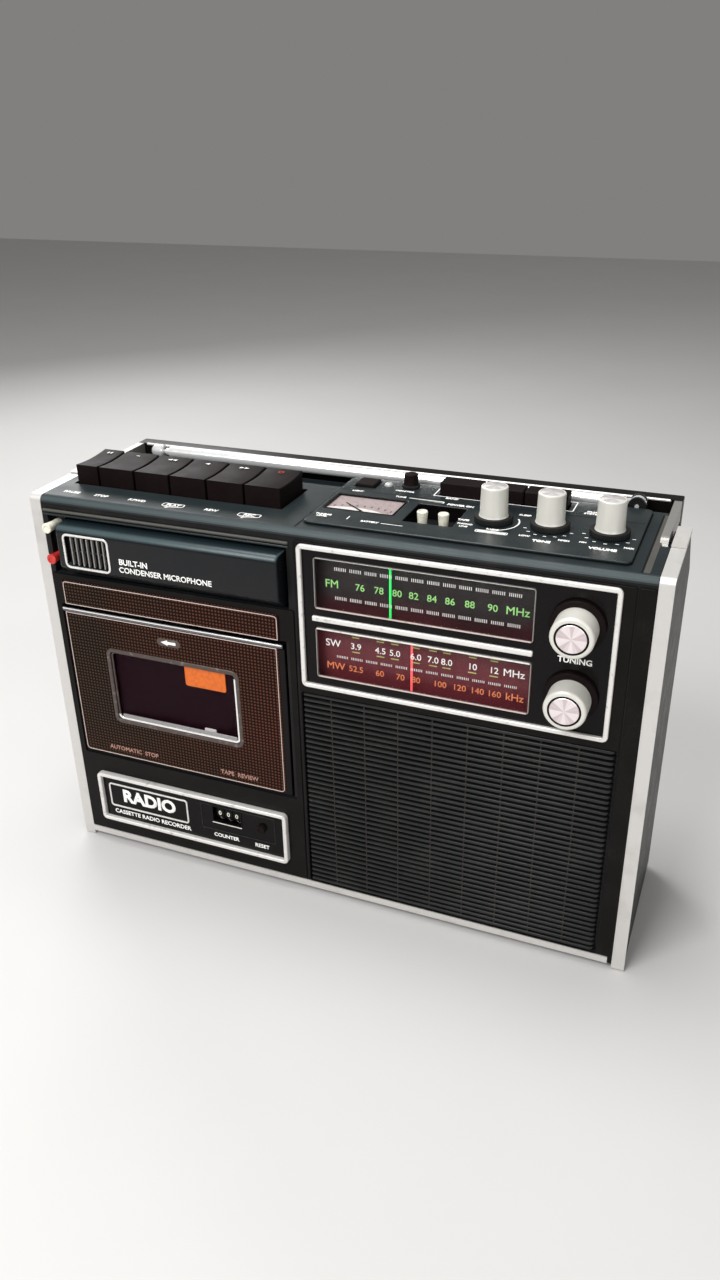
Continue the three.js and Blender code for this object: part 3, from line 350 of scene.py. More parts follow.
MATERIAL = {
    "shell": pebbled(),
    "fascia": moulded("fascia_black", (0.0048, 0.0032, 0.0032), 0.38, 0.2, 0.12, specular=0.11),
    "deck": moulded("deck_blue_black", DECK_BLUE, 0.3, 0.2, 0.4, specular=0.35),
    "mic": microphone_plastic(),
    "key": moulded("key_black", (0.0085, 0.0050, 0.0050), 0.5, 0.08, 0.1, specular=0.06),
    "louvre": moulded("louvre_black", (0.0085, 0.0092, 0.0088), 0.34, 0.12, 0.3, specular=0.34),
    "rib": moulded("rib_brown", (0.020, 0.012, 0.008), 0.5, 0.2, 0.3, specular=0.3),
    "gloss": moulded("gloss_black", (0.0036, 0.0027, 0.0028), 0.16, 0.05, 0.06, specular=0.13),
    "dark": moulded("recess_black", (0.003, 0.003, 0.003), 0.7, 0.1, 0.1, specular=0.2),
    # A dark maroon sheet of painted shade behind the cassette window.
    "shade": moulded("maroon_painted_shade", (0.012, 0.003, 0.006), 0.5, 0.1, 0.1, specular=0.06),
    # Dust in the channel by the right border, and a painted highlight on the upper ledge under the deck's
    # lip.
    "dusty": moulded("dusty_channel_and_painted_ledge_highlight", (0.060, 0.058, 0.050), 0.6, 0.3, 1.0),
    "board": moulded("phenolic_board", (0.20, 0.12, 0.05), 0.6, 0.3, 0.2),
    "rubber": moulded("black_rubber", (0.007, 0.007, 0.007), 0.7, 0.4, 0.3, specular=0.3),
    "aluminium": satin_aluminium(),
    "silver": silver_line(),
    # Fine printed lines, and the painted glints along the lens feet.
    "fine_silver": silver_line("fine_silver_line_and_painted_glint", (0.62, 0.50, 0.46), 0.4, 0.2),
    "grey_metal": silver_line("grey_metal", (0.33, 0.32, 0.30), 0.35, 0.5),
    "bronze": silver_line("bronze_frame", (0.075, 0.052, 0.045), 0.35, 0.2),
    "knob": silver_line("pearl_knob", (0.70, 0.69, 0.63), 0.36, 0.2, wear=0.0, grain=0.02),
    # Real plating on the aerial, and painted highlights on the door's chrome bar and window bevel.
    "bright": silver_line("bright_plating_and_painted_highlights", (0.93, 0.93, 0.92), 0.2, 0.55, wear=0.2),
    "sill": silver_line("hazed_plating", (0.30, 0.29, 0.29), 0.3, 0.4),
    "dark_chrome": silver_line("dark_chrome", (0.16, 0.16, 0.17), 0.16, 1.0),
    # Each spun face's second colour is the painted shade of its wedges.
    "spun_front": spun_aluminium("spun_front_face", "Y", (0.88, 0.80, 0.81), (0.66, 0.56, 0.57)),
    "spun_top": spun_aluminium("spun_top_face", "Z", (0.97, 0.94, 0.93), (0.86, 0.82, 0.81)),
    "mesh": dot_mesh(),
    "lens": clear_plastic("clear_lens", (0.02, 0.01, 0.012), 0.04),
    "smoked": clear_plastic("smoked_window", (0.012, 0.003, 0.006), 0.05, 0.1, 0.05),
    "dial": dial_black(),
    # Each painted_glow below is painted light: these inks, needles and the tab are no lamps.
    "white": painted("white_ink", (0.90, 0.89, 0.86), painted_glow=0.12),
    "faint": painted("faint_ink", (0.42, 0.21, 0.16)),
    "grey": painted("grey_ink", (0.80, 0.78, 0.76), painted_glow=0.1),
    "green": painted("green_ink", (0.30, 0.66, 0.20), painted_glow=0.22),
    "yellow": painted("yellow_ink", (0.42, 0.44, 0.14), painted_glow=0.1),
    "orange": painted("orange_ink", (0.72, 0.20, 0.07), painted_glow=0.22),
    "needle_green": painted("green_needle", (0.02, 0.75, 0.12), painted_glow=0.9),
    "needle_red": painted("red_needle", (0.95, 0.10, 0.11), painted_glow=0.8),
    "tab": painted("orange_tab", (0.80, 0.16, 0.012), 0.4, painted_glow=0.12),
    "red": painted("red_plastic", (0.60, 0.035, 0.03), 0.2),
    "ivory": painted("ivory_plastic", (0.84, 0.82, 0.68), 0.3),
    "lamp": painted("frosted_lamp", (0.42, 0.43, 0.41), 0.25),
    "scale": painted("meter_scale", (0.40, 0.32, 0.315), 0.5),
    "pale": painted("pale_band", (0.78, 0.72, 0.70), 0.5, painted_glow=0.05),
    "steel": plated_steel(),
    "cloth": speaker_cloth(),
}


# ---- Mesh helpers ----
# How a drawing's right, up and outward directions lie in the row frame, and which way outward runs.
FACING = {
    "front": (Matrix(((1, 0, 0), (0, 0, -1), (0, 1, 0))).to_4x4(), -1),
    "top": (Matrix.Identity(4), 1),
    "side": (Matrix(((0, 0, 1), (1, 0, 0), (0, 1, 0))).to_4x4(), 1),
    "back": (Matrix(((-1, 0, 0), (0, 0, 1), (0, 1, 0))).to_4x4(), 1),
}


def keep(name, mesh, material, body=CHASSIS, smooth=SHARP):
    """Makes a piece of a mesh, shades it smooth between its edges, and lets it ride on a body."""
    mesh.materials.clear()
    mesh.materials.append(MATERIAL[material])
    mesh.shade_smooth()
    mesh.set_sharp_from_angle(angle=math.radians(smooth))
    piece = bpy.data.objects.new(name, mesh)
    COLLECTION.objects.link(piece)
    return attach(piece, body)


def drawn(name, facing, depth, data):
    """The mesh of a curve or text that is drawn flat, moved to its depth and turned to face its way."""
    turn, outward = FACING[facing]
    sketch = bpy.data.objects.new(name, data)
    COLLECTION.objects.link(sketch)
    mesh = bpy.data.meshes.new_from_object(sketch.evaluated_get(bpy.context.evaluated_depsgraph_get()))
    bpy.data.objects.remove(sketch)
    bpy.data.curves.remove(data)
    mesh.transform(turn @ Matrix.Translation((0, 0, outward * depth * MM)))
    return mesh


def outline(name, loops, thickness=0.0, bevel=0.0, steps=2):
    """A flat curve of closed loops, where a loop inside another is a hole."""
    curve = bpy.data.curves.new(name, "CURVE")
    curve.dimensions, curve.fill_mode = "2D", "BOTH"
    curve.extrude = max(thickness / 2 - bevel, 0) * MM
    curve.bevel_depth, curve.offset, curve.bevel_resolution = bevel * MM, -bevel * MM, steps
    for loop in loops:
        spline = curve.splines.new("POLY")
        spline.points.add(len(loop) - 1)
        for point, (u, v) in zip(spline.points, loop):
            point.co = (u * MM, v * MM, 0, 1)
        spline.use_cyclic_u = True
    return curve


def plate(name, loops, depth, facing, material, body=CHASSIS, bevel=0.3, steps=2):
    """A plate with rounded edges between two depths along the axis that it faces."""
    curve = outline(name, loops, abs(depth[1] - depth[0]), bevel, steps)
    return keep(name, drawn(name, facing, middle(depth), curve), material, body)


def box_loop(u, v, radius=0.0, steps=6, corners=(1, 1, 1, 1)):
    """A rectangle whose corners are rounded, listed from the lower left and going round anticlockwise."""
    places = [(u[0], v[0], 180), (u[1], v[0], 270), (u[1], v[1], 0), (u[0], v[1], 90)]
    loop = []
    for (cu, cv, start), share in zip(places, corners):
        r = radius * share
        if not r:
            loop.append((cu, cv))
            continue
        mu = cu + r if cu == u[0] else cu - r
        mv = cv + r if cv == v[0] else cv - r
        for step in range(steps + 1):
            angle = math.radians(start + 90 * step / steps)
            loop.append((mu + r * math.cos(angle), mv + r * math.sin(angle)))
    return loop


def inset(pair, by):
    return (pair[0] + by, pair[1] - by)


def inset_pair(pairs, by):
    return inset(pairs[0], by), inset(pairs[1], by)


def ring(u, v, line, radius, corners=(1, 1, 1, 1)):
    """The two loops of a frame line."""
    inner = max(radius - line, 0.0)
    return [box_loop(u, v, radius, 6, corners), box_loop(inset(u, line), inset(v, line), inner, 6, corners)]


def circle(u, v, radius, sides=40):
    return [(u + radius * math.cos(2 * math.pi * i / sides), v + radius * math.sin(2 * math.pi * i / sides))
            for i in range(sides)]


def arc(u, v, radius, start, end, steps=8):
    turns = [math.radians(start + (end - start) * i / steps) for i in range(steps + 1)]
    return [(u + radius * math.cos(a), v + radius * math.sin(a)) for a in turns]


def turned(name, profile, centre, facing, material, body=CHASSIS, sides=64, smooth=SHARP):
    """A turned piece. Its profile lists radius and height from centre, and starts and ends on the axis."""
    bm = bmesh.new()
    turn = FACING[facing][0]
    rings = []
    for radius, height in profile:
        count = sides if radius > 1e-6 else 1
        rings.append([bm.verts.new((radius * math.cos(2 * math.pi * i / sides) * MM,
                radius * math.sin(2 * math.pi * i / sides) * MM, height * MM)) for i in range(count)])
    for low, high in zip(rings, rings[1:]):
        for i in range(sides):
            j = (i + 1) % sides
            corners = [low[i % len(low)], low[j % len(low)], high[j % len(high)], high[i % len(high)]]
            face = list(dict.fromkeys(corners))
            if len(face) > 2:
                bm.faces.new(face)
    bmesh.ops.recalc_face_normals(bm, faces=bm.faces)
    mesh = bpy.data.meshes.new(name)
    bm.to_mesh(mesh)
    bm.free()
    mesh.transform(Matrix.Translation(Vector(centre) * MM) @ turn)
    return keep(name, mesh, material, body, smooth)


def word(text, size, bold=0.0):
    """A line of lettering, size millimetres high from foot to cap."""
    data = bpy.data.curves.new("lettering", "FONT")
    data.body = text
    data.size = size * MM / CAP_SHARE
    data.bevel_depth, data.bevel_resolution = bold * MM, 0
    data.align_x, data.align_y = "CENTER", "CENTER"
    data.resolution_u = 3
    return data


def printed(name, facing, depth, material, body=CHASSIS, loops=(), words=()):
    """Flat ink: loops, and words given as (text, size, u, v) with an optional boldness."""
    bm = bmesh.new()
    level = depth + FACING[facing][1] * PRINT
    if loops:
        bm.from_mesh(drawn(name, facing, level, outline(name, loops)))
    for text, size, u, v, *bold in words:
        mesh = drawn(name, "top", 0, word(text, size, *bold))
        mesh.transform(Matrix.Translation((u * MM, v * MM, 0)))
        turn, outward = FACING[facing]
        mesh.transform(turn @ Matrix.Translation((0, 0, outward * level * MM)))
        bm.from_mesh(mesh)
    mesh = bpy.data.meshes.new(name)
    bm.to_mesh(mesh)
    bm.free()
    return keep(name, mesh, material, body)


def carve(piece, *cutters):
    """Cuts cutters out of piece and removes them."""
    for cutter in cutters:
        cut = piece.modifiers.new("cut", "BOOLEAN")
        cut.object, cut.operation, cut.solver = cutter, "DIFFERENCE", "EXACT"
        bpy.context.view_layer.update()
        mesh = bpy.data.meshes.new_from_object(piece.evaluated_get(bpy.context.evaluated_depsgraph_get()))
        piece.modifiers.clear()
        piece.data = mesh
        bpy.data.objects.remove(cutter)
    piece.data.shade_smooth()
    piece.data.set_sharp_from_angle(angle=math.radians(SHARP))
    return piece


def dress(node, material, bevel=0.35):
    """Gives a CAD node its material, and softens its edges."""
    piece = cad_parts[node]
    piece.data.materials.clear()
    piece.data.materials.append(MATERIAL[material])
    if bevel:
        flat = piece.modifiers.new("flat_faces", "DECIMATE")
        flat.decimate_type, flat.angle_limit = "DISSOLVE", math.radians(2)
        soft = piece.modifiers.new("soft_edges", "BEVEL")
        soft.width, soft.segments, soft.limit_method = bevel * MM, 2, "ANGLE"
        soft.angle_limit, soft.use_clamp_overlap = math.radians(SHARP), True
    piece.data.shade_smooth()
    piece.data.set_sharp_from_angle(angle=math.radians(SHARP))
    return piece


# ---- Camera, floor and light ----
def camera():
    """Looks down on the front from the right, as one stands before a recorder on the floor."""
    azimuth, elevation, roll = math.radians(22.4), math.radians(27.4), math.radians(-1.1)
    distance = 566.2
    aim = Vector((24.3, FRONT, 187.8))
    back = Vector((math.sin(azimuth) * math.cos(elevation), -math.cos(azimuth) * math.cos(elevation),
            math.sin(elevation)))
    right = Vector((math.cos(azimuth), math.sin(azimuth), 0))
    up = back.cross(right)
    turn = Matrix((right, up, back)).transposed() @ Matrix.Rotation(roll, 3, "Z")
    data = bpy.data.cameras.new("camera")
    data.sensor_width, data.lens = 36, 29.1
    eye = bpy.data.objects.new("camera", data)
    eye.matrix_world = Matrix.Translation((aim + back * distance) * MM) @ turn.to_4x4()
    COLLECTION.objects.link(eye)
    bpy.context.scene.camera = eye


# Each light's name, place in metres, size and power.
LIGHTS = [("key_light", (-0.35, -1.1, 1.25), 0.8, 21), ("fill_light", (1.0, -1.0, 0.7), 0.9, 5),
          ("top_light", (-0.2, 0.1, 1.5), 0.7, 13), ("rim_light", (-0.9, 0.9, 0.8), 0.6, 6)]


def studio():
    """A pale floor, and soft light from above the camera, from both sides and from behind."""
    made = Shader("pale_floor", (0.62, 0.61, 0.60), 0.7)
    made.paint(made.blend(made.noise(160, 3), (0.60, 0.59, 0.58), (0.64, 0.63, 0.62)))
    made.bump(made.noise(3, 4), 0.1, 0.2)
    bm = bmesh.new()
    bmesh.ops.create_grid(bm, x_segments=8, y_segments=8, size=FLOOR_REACH)
    mesh = bpy.data.meshes.new("floor")
    bm.to_mesh(mesh)
    bm.free()
    mesh.materials.append(made.material)
    floor = bpy.data.objects.new("floor", mesh)
    COLLECTION.objects.link(floor)
    for name, place, size, power in LIGHTS:
        data = bpy.data.lights.new(name, "AREA")
        data.energy, data.size = power, size
        lamp = bpy.data.objects.new(name, data)
        lamp.location = place
        lamp.rotation_euler = (Vector((0, 0, 0.14)) - lamp.location).to_track_quat("-Z", "Y").to_euler()
        COLLECTION.objects.link(lamp)
    world = bpy.data.worlds.new("studio")
    bpy.context.scene.world = world
    world.use_nodes = True
    backdrop = world.node_tree.nodes["Background"]
    backdrop.inputs["Color"].default_value = (1.0, 0.98, 0.96, 1)
    backdrop.inputs["Strength"].default_value = BACKDROP_LIGHT
    bpy.context.scene.view_settings.view_transform = "Standard"


# ---- Cabinet front: fascias, ledges and the strip above the cassette door ----
LEFT = (-177.0, -15.0)          # the recorder half
RIGHT = (-13.4, 168.2)          # the radio half
BORDER = (169.0, 177.2)
FASCIA = (FRONT - 0.9, FRONT + 0.2)


def fascias():
    """The front's moulded faces, with dark joints between them."""
    door, counter, grille, bezel = (span(n) for n in ("cassette_door", "counter_panel", "speaker_grille",
            "dial_bezel"))
    door_x = (DOOR_X[0] - 1.0, DOOR_X[1] + 2.6)
    plate("left_fascia", [
        box_loop(LEFT, (9.4, 199.0), 1),
        box_loop(door_x, (door[2][0] - 0.4, door[2][1] + 0.9), 1),
        box_loop(inset(counter[0], -0.6), inset(counter[2], -0.6), 3),
    ], FASCIA, "front", "fascia")
    plate("right_fascia", [
        box_loop(RIGHT, FASCIA_Z, 1),
        box_loop(inset(grille[0], -0.4), inset(grille[2], -0.4), 2),
        box_loop(inset(bezel[0], 1), inset(bezel[2], 1), 2),
    ], FASCIA, "front", "fascia")
    plate("right_border", [box_loop(BORDER, FASCIA_Z, 0.8)], FASCIA, "front", "fascia")
    plate("lower_sill", [box_loop((-177.2, 177.2), (4.2, 9.0), 0.5)], (FRONT - 0.3, FRONT + 0.4), "front",
          "dark")


def deck_joints():
    """The joint between the halves runs back over the deck, and a dusty channel follows the right border."""
    y = span("control_panel")[1]
    for name, u, back, wide, material in [("halves_joint", middle((LEFT[1], RIGHT[0])), 72, 1.2, "dark"),
            ("border_joint", RIGHT[1] + 0.4, 86, 1.0, "dark"), ("border_dust", RIGHT[1] + 2.6, 86, 3.2,
            "dusty")]:
        plate(name, [box_loop((u - wide / 2, u + wide / 2), (FRONT + 4.5, FRONT + back), 0.3, 2)],
              (DECK - 0.5, DECK + 0.08), "top", material, bevel=0.03)
    plate("panel_shadow", ring((span("control_panel")[0][0] - 0.6, span("control_panel")[0][1] + 0.6),
          inset(y, -0.6), 0.9, 4), (DECK - 0.3, DECK + 0.06), "top", "dark", bevel=0.02)


def top_lip():
    """Two thin ledges under the rounded edge of the left deck; the upper one's pale grey is a painted
    highlight along its edge.
    """
    for name, low, proud, material in [("upper_ledge", 238.6, 1.5, "dusty"), ("lower_ledge", 236.2, 0.8,
            "deck")]:
        plate(name, [box_loop((LEFT[0] + 1, LEFT[1] - 1.5), (low, low + 1.5), 0.4)],
              (FRONT - proud, FRONT + 2), "front", material, bevel=0.5)


def mesh_strip():
    """The dotted strip above the door, inside a fine pale line."""
    x, z = (-170.5, -24.5), (179.4, 195.4)
    plate("mesh_strip", [box_loop(x, z, 2.2, 6, (0, 0, 1, 1))], (FRONT - 1.5, FRONT - 0.4), "front", "mesh",
          bevel=0.2)
    plate("mesh_strip_line", ring(inset(x, 0.9), (z[0], z[1] - 0.9), 0.5, 2.2, (0, 0, 1, 1)),
          (FRONT - 1.68, FRONT - 1.3), "front", "fine_silver", bevel=0.08)


# ---- Microphone and its buttons ----
def microphone():
    """A long block with a rounded brow, an undercut foot and a slatted opening."""
    (x0, x1), (y0, y1), (z0, z1) = span("mic_unit")
    brow = 4.5
    side = [(y1, z0), (y1, z1), *arc(y0 + brow, z1 - brow, brow, 90, 180), (y0, z0 + 7.5), (y0 + 1.0,
            z0 + 6.2), (FRONT - 1.2, z0 + 0.6), (FRONT + 1, z0)]
    body = plate("microphone_body", [side], (x0, x1), "side", "mic", "mic_unit", bevel=1.4, steps=3)
    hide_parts("mic_unit")
    gx, gz = (x0 + 4.5, x0 + 36.0), (z0 + 7.2, z1 - 4.2)
    inner = (inset(gx, 1.3), inset(gz, 1.3))
    carve(body, plate("opening_cutter", [box_loop(*inner, 2.2)], (y0 - 3, y0 + 3.5), "front", "mic",
          "mic_unit", 0))
    plate("microphone_rim", ring(gx, gz, 1.3, 3.4), (y0 - 0.5, y0 + 0.6), "front", "silver", "mic_unit", 0.25)
    plate("microphone_well", [box_loop(*inset_pair(inner, 0.2), 2)], (y0 + 3.0, y0 + 3.4), "front", "dark",
          "mic_unit", 0.1)
    slats = 7
    pitch = (inner[0][1] - inner[0][0] - 3.4) / slats
    bars = [box_loop((inner[0][0] + 3.6 + i * pitch, inner[0][0] + 4.4 + i * pitch), inset(inner[1], 0.7),
            0.3, 2) for i in range(slats)]
    plate("microphone_slats", bars, (y0 + 0.3, y0 + 2.2), "front", "grey_metal", "mic_unit", 0.2)
    plate("microphone_crossbar", [box_loop((inner[0][0] + 3, inner[0][1]), (middle(inner[1]) - 0.4,
          middle(inner[1]) + 0.4))], (y0 + 1.0, y0 + 2.6), "front", "mic", "mic_unit", 0.1)
    printed("microphone_words", "front", y0, "white", "mic_unit", words=[("BUILT-IN", 3.4, x0 + 51.6,
            z0 + 15.8, 0.16), ("CONDENSER MICROPHONE", 3.35, x0 + 71.9, z0 + 10.9, 0.12)])


def mic_buttons():
    """Two small tapered buttons beside the microphone."""
    for node, material in [("mic_eject_button", "ivory"), ("mic_switch_button", "red")]:
        x, y, z = span(node)
        r = middle((0, x[1] - x[0]))
        profile = [(0, -(y[1] - y[0])), (r * 0.8, -(y[1] - y[0])), (r * 0.8, -7), (r * 0.95, -2), (r, -1.4),
                (r, -0.5), (r * 0.9, -0.12), (r * 0.55, 0), (r * 0.5, -0.5), (0, -0.7)]
        button = turned(node + "_cap", profile, (middle(x), y[0], middle(z)), "front", material, node, 32)
        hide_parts(node)


# ---- Cassette door and what shows behind its window ----
DOOR_X = (span("cassette_door")[0][0] + 2.5, span("cassette_door")[0][1] - 2.5)


def cassette_door():
    """A dotted slab on a round foot, with a framed smoked window."""
    (_, y1), (z0, z1) = span("cassette_door")[1:]
    win_x, win_z = span("door_window")[0], span("door_window")[2]
    body = "cassette_door"
    face = PANEL_FACE
    slab = plate("door_slab", [box_loop(inset(DOOR_X, 0.3), (z0 + 1.8, z1 - 4), 1), box_loop(inset(win_x,
            2.2), inset(win_z, 2.2), 3)], (face + 0.5, y1), "front", "gloss", body, 0.5)
    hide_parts("cassette_door")
    turned_bar("door_foot", inset(DOOR_X, 0.4), (FRONT + 2.2, z0 + 3.0), 2.85, "gloss", body)
    x, z = (DOOR_X[0] + 0.8, DOOR_X[1] - 4.2), (z0 + 2.4, z1 - 3.9)
    plate("door_mesh", [box_loop(x, z, 3.0, 6, (1, 1, 0, 0)), box_loop(inset(win_x, -0.6), inset(win_z, -0.6),
          4.4)], (face - 0.1, face + 0.9), "front", "mesh", body, 0.2)
    plate("door_line", ring(inset(x, 0.8), (z[0] + 0.9, z[1]), 0.5, 2.6, (1, 1, 0, 0)),
          (face - 0.3, face + 0.2), "front", "fine_silver", body, 0.1)
    turned_bar("door_chrome_bar", (DOOR_X[0], DOOR_X[1] - 0.8), (face + 0.5, z1 - 2.1), 1.6, "dark_chrome",
            body)
    # A painted highlight: a bright strip laid along the top of the dark chrome bar.
    plate("door_bar_painted_highlight", [box_loop((DOOR_X[0] + 0.3, DOOR_X[1] - 1.2), (z1 - 1.9, z1 - 0.9))], (face - 1.05,
          face), "front", "bright", body, 0.3)
    plate("door_frame", ring(inset(win_x, -0.9), inset(win_z, -0.9), 2.7, 4.8), (face - 0.6, face + 0.8),
          "front", "bronze", body, 0.9, 3)
    inner = (inset(win_x, 1.7), inset(win_z, 1.7))
    bright_frame(*inner, face, body)
    glass = plate("door_glass", [box_loop(*inset_pair(inner, 0.9), 2.4)], (face + 0.9, face + 2.0), "front",
            "smoked", body, 0.3)
    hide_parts("door_window")
    # Painted shade: a dark maroon sheet behind the window stands for the shade inside the cassette well.
    plate("window_painted_shade", [box_loop(*inset_pair(inner, -0.4), 2)], (face + 3.5, face + 3.7), "front", "shade",
          body, 0)
    tab_x, tab_z = (middle(win_x) + 7.2, middle(win_x) + 35.0), (win_z[1] - 17.2, win_z[1] - 3.4)
    plate("orange_tab", [box_loop(tab_x, tab_z, 1.5)], (face + 2.6, face + 3.4), "front", "tab", body, 0.3)
    tip = (middle(win_x) + 17.5, middle(win_x) + 25.5)
    plate("cassette_gate", [box_loop(tip, (win_z[0] + 4, win_z[0] + 6.4), 0.5)], (face + 2.6, face + 3.4),
          "front", "grey", body, 0.2)
    arrow_pill(middle(win_x), (z1 + win_z[1]) / 2 - 0.7, face, body)
    printed("door_words", "front", face - 0.1, "faint", body, words=[("AUTOMATIC  STOP", 2.9, DOOR_X[0] + 38,
            z0 + 8.8, 0.12), ("TAPE  REVIEW", 2.9, DOOR_X[1] - 36, z0 + 8.4, 0.12)])


def bright_frame(x, z, face, body):
    """The window's inner bevel: dark above and to the left, and a painted highlight of bright chrome below
    and to the right.
    """
    plate("door_dark_bevel", ring(x, z, 1.2, 3.4), (face + 0.5, face + 1.8), "front", "bronze", body, 0.5)
    width, r = 1.5, 3.4
    outer = [(x[0], z[0] + r), *arc(x[0] + r, z[0] + r, r, 180, 270), *arc(x[1] - r, z[0] + r, r, 270, 360),
             (x[1], z[1] - r)]
    inner = [(x[1] - width, z[1] - r), *arc(x[1] - r, z[0] + r, r - width, 360, 270),
             *arc(x[0] + r, z[0] + r, r - width, 270, 180), (x[0] + width, z[0] + r)]
    plate("door_bevel_painted_highlight", [outer + inner], (face + 0.1, face + 1.5), "front", "bright", body, 0.5, 3)
    plate("door_window_sill", [box_loop((x[0] + 3, x[1] - 2.2), (z[0] + 1.4, z[0] + 4.2), 0.8)], (face + 0.6,
          face + 1.0), "front", "sill", body, 0.3, 2)


def arrow_pill(u, v, face, body):
    """A small rounded badge with an arrow that points to the left."""
    plate("arrow_badge", [box_loop((u - 8, u + 8), (v - 2.6, v + 2.6), 2.4)], (face - 0.35, face + 0.3),
          "front", "bronze", body, 0.15)
    arrow = [(u - 5.2, v), (u - 0.6, v + 1.9), (u - 0.6, v + 0.9), (u + 5, v + 0.9), (u + 5, v - 0.9),
             (u - 0.6, v - 0.9), (u - 0.6, v - 1.9)]
    printed("arrow_mark", "front", face - 0.35, "white", body, [arrow])


def turned_bar(name, x, centre, radius, material, body):
    """A round bar along X with softened ends."""
    profile = [(0, 0), (radius - 0.5, 0), (radius, 0.5), (radius, x[1] - x[0] - 0.5), (radius - 0.5,
            x[1] - x[0]), (0, x[1] - x[0])]
    return turned(name, profile, (x[0], *centre), "side", material, body, 24)


# ---- Tape counter panel ----
def counter_panel():
    """A glossy panel in a bright frame: the name, the counter's window and its reset button."""
    x, (y0, _), z = span("counter_panel")
    wheels = span("counter_wheels")
    window = ((middle(wheels[0]) - 10, middle(wheels[0]) + 10), (z[1] - 18.6, z[1] - 7.2))
    face = PANEL_FACE
    base = plate("counter_face", [box_loop(inset(x, 1), inset(z, 1), 2), box_loop(*window, 0.6)],
                 (face, FRONT + 1), "front", "gloss", bevel=0.2)
    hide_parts("counter_panel")
    plate("counter_frame", ring(x, z, 2.7, 3.2), (y0, FRONT), "front", "silver", bevel=0.9, steps=3)
    name_x, name_z = (x[0] + 7, x[0] + 67), (z[0] + 11.4, z[1] - 7.6)
    plate("name_frame", ring(name_x, name_z, 1.1, 2.2), (face - 0.8, face + 0.1), "front", "silver",
          bevel=0.3)
    printed("name_word", "front", face, "white", words=[("RADIO", 9.2, middle(name_x), middle(name_z), 0.6),
            ("CASSETTE RADIO RECORDER", 3.1, middle(name_x) + 1.2, z[0] + 7.2, 0.13), ("COUNTER", 2.7,
            middle(window[0]) - 1.5, z[0] + 8.0, 0.12), ("RESET", 2.7, x[1] - 19.0, z[0] + 7.6, 0.12)])
    plate("counter_well", ring((x[1] - 62, x[1] - 9), (z[0] + 11.8, z[1] - 6.2), 0.5, 1),
          (face - 0.35, face + 0.1), "front", "louvre", bevel=0.12)
    plate("counter_window_rim", ring(inset(window[0], -0.8), inset(window[1], -0.8), 0.9, 0.8), (face - 0.5,
          face + 0.2), "front", "gloss", bevel=0.2)
    plate("counter_window_sill", [box_loop(inset(window[0], -0.6), (window[1][0] - 1.0, window[1][0] - 0.3))],
          (face - 0.7, face), "front", "silver", bevel=0.15)
    counter_wheels(wheels)
    rx, ry, rz = span("counter_reset_button")
    r = (rx[1] - rx[0]) / 2
    button = turned("reset_cap", [(0, -11), (r, -11), (r, -0.8), (r - 0.3, -0.2), (r - 0.9, 0), (0, -0.5)],
            (middle(rx), ry[0], middle(rz)), "front", "key", "counter_reset_button", 32)
    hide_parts("counter_reset_button")


def counter_wheels(place):
    """Three number wheels on one shaft, each with the digits round its rim."""
    x, y, z = place
    radius = (z[1] - z[0]) / 2
    axis = (middle(y), middle(z))
    for i in range(3):
        left = middle(x) + (i - 1) * 6 - 2.8
        profile = [(0, 0), (radius - 0.4, 0), (radius, 0.4), (radius, 5.2), (radius - 0.4, 5.6), (0, 5.6)]
        wheel = turned(f"counter_wheel_{i + 1}", profile, (left, *axis), "side", "dark", "counter_wheels", 40)
    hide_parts("counter_wheels")
    bm = bmesh.new()
    for i in range(3):
        for digit in range(10):
            mesh = drawn("digit", "front", -(radius + PRINT), word(str(digit), 3.1, 0.12))
            mesh.transform(Matrix.Rotation(math.radians(36 * digit), 4, "X"))
            mesh.transform(Matrix.Translation(Vector((middle(x) + (i - 1) * 6, *axis)) * MM))
            bm.from_mesh(mesh)
    digits = bpy.data.meshes.new("counter_digits")
    bm.to_mesh(digits)
    bm.free()
    keep("counter_digits", digits, "ivory", "counter_wheels")


# ---- Radio: bezel, dial, knobs and grille ----
SIGHT = (1.3, 1.8)      # how far the print lies left and low of where it shows in the plane of the front


